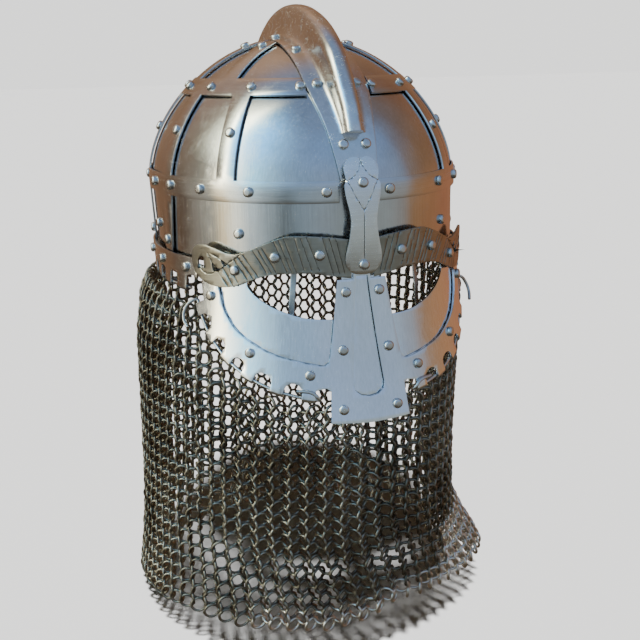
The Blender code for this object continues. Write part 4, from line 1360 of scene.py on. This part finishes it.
# How far a ring leans to the side and forward in degrees, how far it may be off that, how far off its place
# in millimetres, and how far it may be turned in radians.
RING_TILT = 38.0
RING_DROOP = 12.0
TILT_PLAY = 6.0
DROOP_PLAY = 7.0
PLACE_PLAY = 0.3
ANY_TURN = 6.28
# The rings' centres stay this far inside the hem and the top edge.
HEM_CLEAR = 5.0
TOP_CLEAR = 4.0
# The brighter rings: from which angle to which, where the fold starts, and their rows before it and in it.
HEM_START = -35.0
HEM_END = 80.0
FOLD_START = 38.0
HEM_ROWS = 2
FOLD_ROWS = 9
# From straight behind round by the wearer's right.
QUARTERS = ("back", "right", "front", "left", "back")


def between(table, value):
    """A table's row at a value of its first column, drawn straight between the rows that it holds."""
    value = min(max(value, table[0][0]), table[-1][0])
    for low, high in zip(table, table[1:]):
        if value <= high[0]:
            share = (value - low[0]) / (high[0] - low[0])
            return [a + share * (b - a) for a, b in zip(low, high)]
    return list(table[-1])


def mail_wall(t, z):
    """The middle of the mail's wall at an angle and a height."""
    _, right, left, front, back = smooth_row(MAIL_SECTIONS, z)
    turn = math.radians(t)
    low = ease((MAIL_LOOSE_BELOW - z) / MAIL_LOOSE_DEPTH)
    fold = MAIL_FOLD * low * math.exp(-(((t - MAIL_FOLD_ANGLE) / MAIL_FOLD_WIDTH) ** 2))
    wave = 1.0 + low * MAIL_WAVE * math.sin(MAIL_WAVES * turn)
    wide = (left if t > 0.0 else right) * wave
    deep = (front if abs(t) < 90.0 else back) * wave
    out = Vector((math.sin(turn), -math.cos(turn), 0.0))
    flat = Vector((wide * math.sin(turn), -deep * math.cos(turn), z - RISE + BOWL_SHEET))
    return (flat + fold * out) * MM


def girth_lengths(z):
    """How long the mail's girth is at a height up to each angle in turn, from straight behind."""
    line = [mail_wall(t, z) for t in range(-180, 181, GIRTH_STEP)]
    lengths = [0.0]
    for a, b in zip(line, line[1:]):
        lengths.append(lengths[-1] + (b - a).length)
    return lengths


ring_tones = ((0.385, 0.34, 0.265), (0.15, 0.123, 0.087))
mail_ring_steel = brushed_steel("mail_ring_steel", *ring_tones, 0.42, NO_GRAIN, grit=0.1)
hem_tones = ((0.86, 0.78, 0.68), (0.56, 0.49, 0.41))
hem_ring_steel = brushed_steel("hem_ring_steel", *hem_tones, 0.34, NO_GRAIN, grit=0.1)
bpy.ops.object.select_all(action="DESELECT")
bpy.ops.mesh.primitive_torus_add(
    major_segments=16, minor_segments=6, major_radius=RING_RADIUS * MM, minor_radius=RING_WIRE * MM
)
ring_model = bpy.context.object
ring_model.name = "mail_ring"
bpy.ops.object.shade_smooth()
ring_model.data.materials.append(mail_ring_steel)
chance = random.Random(RING_CHANCE)
mail_quarters = {"front": [], "left": [], "back": [], "right": [], "hem": []}
for row in range(MAIL_ROWS):
    share = (row + 0.5) / MAIL_ROWS
    level = MAIL_START + share * (MAIL_END - MAIL_START)
    lengths = girth_lengths(level)
    shift = 0.5 * (row % 2)
    lean = RING_TILT if row % 2 else -RING_TILT
    k = 0
    for number in range(MAIL_RINGS):
        want = (number + shift) / MAIL_RINGS * lengths[-1]
        while lengths[k + 1] < want:
            k += 1
        t = -180.0 + GIRTH_STEP * (k + (want - lengths[k]) / (lengths[k + 1] - lengths[k]))
        hem = between(MAIL_HEM, t)[1]
        z = MAIL_START + share * (hem + HEM_CLEAR - MAIL_START)
        if z > between(MAIL_TOP, abs(t))[1] - TOP_CLEAR:
            continue
        place = mail_wall(t, z)
        side = (mail_wall(t + 1.0, z) - mail_wall(t - 1.0, z)).normalized()
        up = (mail_wall(t, z + 2.0) - mail_wall(t, z - 2.0)).normalized()
        off = side.cross(up).normalized()
        turn = Matrix((side, up, off)).transposed().to_4x4()
        forward = math.radians(RING_DROOP + chance.uniform(-DROOP_PLAY, DROOP_PLAY))
        aside = math.radians(lean + chance.uniform(-TILT_PLAY, TILT_PLAY))
        turn = turn @ Matrix.Rotation(forward, 4, "X") @ Matrix.Rotation(aside, 4, "Y")
        turn = turn @ Matrix.Rotation(chance.uniform(0.0, ANY_TURN), 4, "Z")
        nudge = Vector([chance.uniform(-PLACE_PLAY, PLACE_PLAY) for _ in range(3)]) * MM
        ring = ring_model.copy()
        ring.data = ring_model.data.copy()
        ring.data.transform(Matrix.Translation(place + nudge) @ turn)
        bpy.context.collection.objects.link(ring)
        quarter = QUARTERS[int((t + 225.0) // 90.0)]
        bright_rows = FOLD_ROWS if t > FOLD_START else HEM_ROWS
        if HEM_START < t < HEM_END and row >= MAIL_ROWS - bright_rows:
            quarter = "hem"
            ring.data.materials[0] = hem_ring_steel
        mail_quarters[quarter].append(ring)
for quarter, rings in mail_quarters.items():
    bpy.ops.object.select_all(action="DESELECT")
    for ring in rings:
        ring.select_set(True)
    bpy.context.view_layer.objects.active = rings[0]
    bpy.ops.object.join()
    mail = bpy.context.object
    mail.name = "mail_rings_" + quarter
    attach(mail, "root")
    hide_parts("mail_aventail")
bpy.data.objects.remove(ring_model)
bpy.data.objects.remove(rivet_model)


# The floor, the light and the camera -------------------------------------------------------------------
#
# The helmet stands on its mail on a plain pale floor. The light is that of a studio with a cool soft front,
# one narrow warm window on the wearer's right, and tan walls at the sides, which the steel shows in soft
# bands.

FLOOR_PAINT = (0.88, 0.88, 0.87, 1.0)
FLOOR_SIZE = 30.0
FLOOR_LEVEL = MAIL_HEM[0][1] - RISE + BOWL_SHEET - 0.5
bpy.ops.object.select_all(action="DESELECT")
bpy.ops.mesh.primitive_plane_add(size=FLOOR_SIZE)
floor = bpy.context.object
floor.name = "floor"
floor.data.transform(Matrix.Translation((0.0, 0.0, FLOOR_LEVEL * MM)))
floor.visible_glossy = False
pale = bpy.data.materials.new("pale_floor")
pale.use_nodes = True
paint = pale.node_tree.nodes["Principled BSDF"]
paint.inputs["Base Color"].default_value = FLOOR_PAINT
paint.inputs["Roughness"].default_value = 0.95
paint.inputs["Specular IOR Level"].default_value = 0.1
floor.data.materials.append(pale)

# What the steel sees: a direction from the front in degrees round to the wearer's left, and the colors near
# the floor, at eye level and above it.
ROUND_THE_STUDIO = (
    (-180.0, (0.26, 0.15, 0.09), (0.28, 0.17, 0.10), (0.55, 0.36, 0.24)),
    (-150.0, (0.21, 0.12, 0.07), (0.28, 0.17, 0.11), (0.44, 0.32, 0.26)),
    (-130.0, (0.14, 0.10, 0.07), (0.24, 0.18, 0.13), (0.46, 0.38, 0.30)),
    (-113.0, (0.32, 0.29, 0.24), (0.28, 0.25, 0.20), (2.8, 3.0, 2.3)),
    (-100.0, (0.42, 0.42, 0.36), (0.5, 0.47, 0.37), (11.0, 11.5, 8.5)),
    (-91.0, (1.3, 1.0, 0.54), (11.0, 10.5, 7.4), (1.8, 3.6, 4.5)),
    (-82.0, (1.7, 1.7, 1.4), (2.7, 3.4, 3.3), (0.7, 2.3, 4.0)),
    (-70.0, (0.8, 0.95, 1.0), (0.75, 1.8, 2.4), (0.5, 1.6, 3.0)),
    (-55.0, (0.40, 0.50, 0.55), (0.52, 0.95, 1.3), (0.42, 0.95, 1.6)),
    (-42.0, (0.17, 0.21, 0.23), (0.33, 0.54, 0.80), (0.32, 0.60, 1.0)),
    (-28.0, (0.27, 0.36, 0.43), (0.27, 0.43, 0.65), (0.26, 0.43, 0.75)),
    (-10.0, (0.30, 0.37, 0.42), (0.28, 0.40, 0.60), (0.23, 0.38, 0.67)),
    (10.0, (0.28, 0.33, 0.34), (0.28, 0.39, 0.58), (0.22, 0.38, 0.65)),
    (45.0, (0.32, 0.37, 0.38), (0.27, 0.38, 0.60), (0.21, 0.35, 0.60)),
    (62.0, (0.29, 0.29, 0.28), (0.25, 0.33, 0.48), (0.20, 0.30, 0.52)),
    (76.0, (0.32, 0.18, 0.09), (0.24, 0.18, 0.15), (0.19, 0.21, 0.28)),
    (95.0, (0.36, 0.18, 0.09), (0.26, 0.15, 0.085), (0.19, 0.15, 0.14)),
    (125.0, (0.35, 0.15, 0.08), (0.26, 0.13, 0.07), (0.22, 0.12, 0.08)),
    (155.0, (0.29, 0.14, 0.08), (0.26, 0.14, 0.08), (0.30, 0.19, 0.12)),
    (180.0, (0.26, 0.15, 0.09), (0.28, 0.17, 0.10), (0.55, 0.36, 0.24)),
)
# The heights of those three bands, as the sine of the angle above the floor, and the floor and the ceiling.
BAND_HEIGHTS = (-0.17, 0.26, 0.77)
FLOOR_SEEN = (-0.62, (0.10, 0.085, 0.06))
CEILING_SEEN = (1.0, (0.26, 0.38, 0.62))
STUDIO_LEVEL = 1.25
# What dull surfaces get from all round, and the pale backdrop behind the floor.
DIM = (0.03, 0.02, 0.01, 1.0)
BACKDROP = (1.55, 1.55, 1.53, 1.0)
LAMP_PLACE = (-0.33, -1.05, 2.0)
LAMP_AIM = (0.0, 0.0, -0.2)
LAMP_STRENGTH = 6.6
LAMP_SPREAD = 6.0
CAMERA_PLACE = (-0.2155, -0.721, -0.0092)
CAMERA_AIM = (0.0482, 0.1097, -0.2334)
CAMERA_ROLL = -1.26
CAMERA_LENS = 58.13
CAMERA_SENSOR = 36.0
CAMERA_NEAR = 0.01

world = bpy.data.worlds.new("studio")
bpy.context.scene.world = world
world.use_nodes = True
nodes = world.node_tree.nodes
links = world.node_tree.links


def math_node(operation, *values):
    """One step of reckoning on values and sockets."""
    node = nodes.new("ShaderNodeMath")
    node.operation = operation
    for socket, value in zip(node.inputs, values):
        feed(socket, value)
    return node.outputs["Value"]


def round_ramp(angle, band):
    """The studio's color at one band's height, all the way round."""
    ramp = nodes.new("ShaderNodeValToRGB")
    ramp.color_ramp.interpolation = "EASE"
    while len(ramp.color_ramp.elements) < len(ROUND_THE_STUDIO):
        ramp.color_ramp.elements.new(0.5)
    for element, row in zip(ramp.color_ramp.elements, ROUND_THE_STUDIO):
        element.position = (row[0] + 180.0) / 360.0
        element.color = (*(STUDIO_LEVEL * part for part in row[1 + band]), 1.0)
    links.new(math_node("DIVIDE", math_node("ADD", angle, 180.0), 360.0), ramp.inputs["Fac"])
    return ramp.outputs["Color"]


def rise(value, low, high):
    """0 below the low value, 1 above the high one, and a smooth step between."""
    node = nodes.new("ShaderNodeMapRange")
    node.interpolation_type = "SMOOTHSTEP"
    node.inputs["From Min"].default_value = low
    node.inputs["From Max"].default_value = high
    links.new(value, node.inputs["Value"])
    return node.outputs["Result"]


around = nodes.new("ShaderNodeTexCoord")
axes = nodes.new("ShaderNodeSeparateXYZ")
links.new(around.outputs["Generated"], axes.inputs["Vector"])
level = axes.outputs["Z"]
toward_front = math_node("MULTIPLY", axes.outputs["Y"], -1.0)
bearing = math_node("DEGREES", math_node("ARCTAN2", axes.outputs["X"], toward_front))
studio = (*FLOOR_SEEN[1], 1.0)
below = FLOOR_SEEN[0]
for band, height in enumerate(BAND_HEIGHTS):
    studio = mixed(nodes, "MIX", rise(level, below, height), studio, round_ramp(bearing, band))
    below = height
ceiling = (*CEILING_SEEN[1], 1.0)
studio = mixed(nodes, "MIX", rise(level, below, CEILING_SEEN[0]), studio, ceiling)
seen = nodes.new("ShaderNodeLightPath")
backdrop = mixed(nodes, "MIX", seen.outputs["Is Glossy Ray"], DIM, studio)
backdrop = mixed(nodes, "MIX", seen.outputs["Is Camera Ray"], backdrop, BACKDROP)
links.new(backdrop, nodes["Background"].inputs["Color"])


# One high soft lamp stands in front, a little to the wearer's right.
bpy.ops.object.light_add(type="SUN", location=LAMP_PLACE)
lamp = bpy.context.object
lamp.name = "overhead_softbox"
lamp.data.energy = LAMP_STRENGTH
lamp.data.angle = math.radians(LAMP_SPREAD)
lamp.visible_glossy = False
lamp.rotation_euler = (Vector(LAMP_AIM) - lamp.location).to_track_quat("-Z", "Y").to_euler()

# The camera stands a little to the wearer's right, and looks down at the face.
bpy.ops.object.camera_add(location=CAMERA_PLACE)
camera = bpy.context.object
aim = (Vector(CAMERA_AIM) - camera.location).to_track_quat("-Z", "Y")
roll = Matrix.Rotation(math.radians(CAMERA_ROLL), 3, "Z")
camera.rotation_euler = (aim.to_matrix() @ roll).to_euler()
camera.data.lens = CAMERA_LENS
camera.data.sensor_width = CAMERA_SENSOR
camera.data.clip_start = CAMERA_NEAR
bpy.context.scene.camera = camera
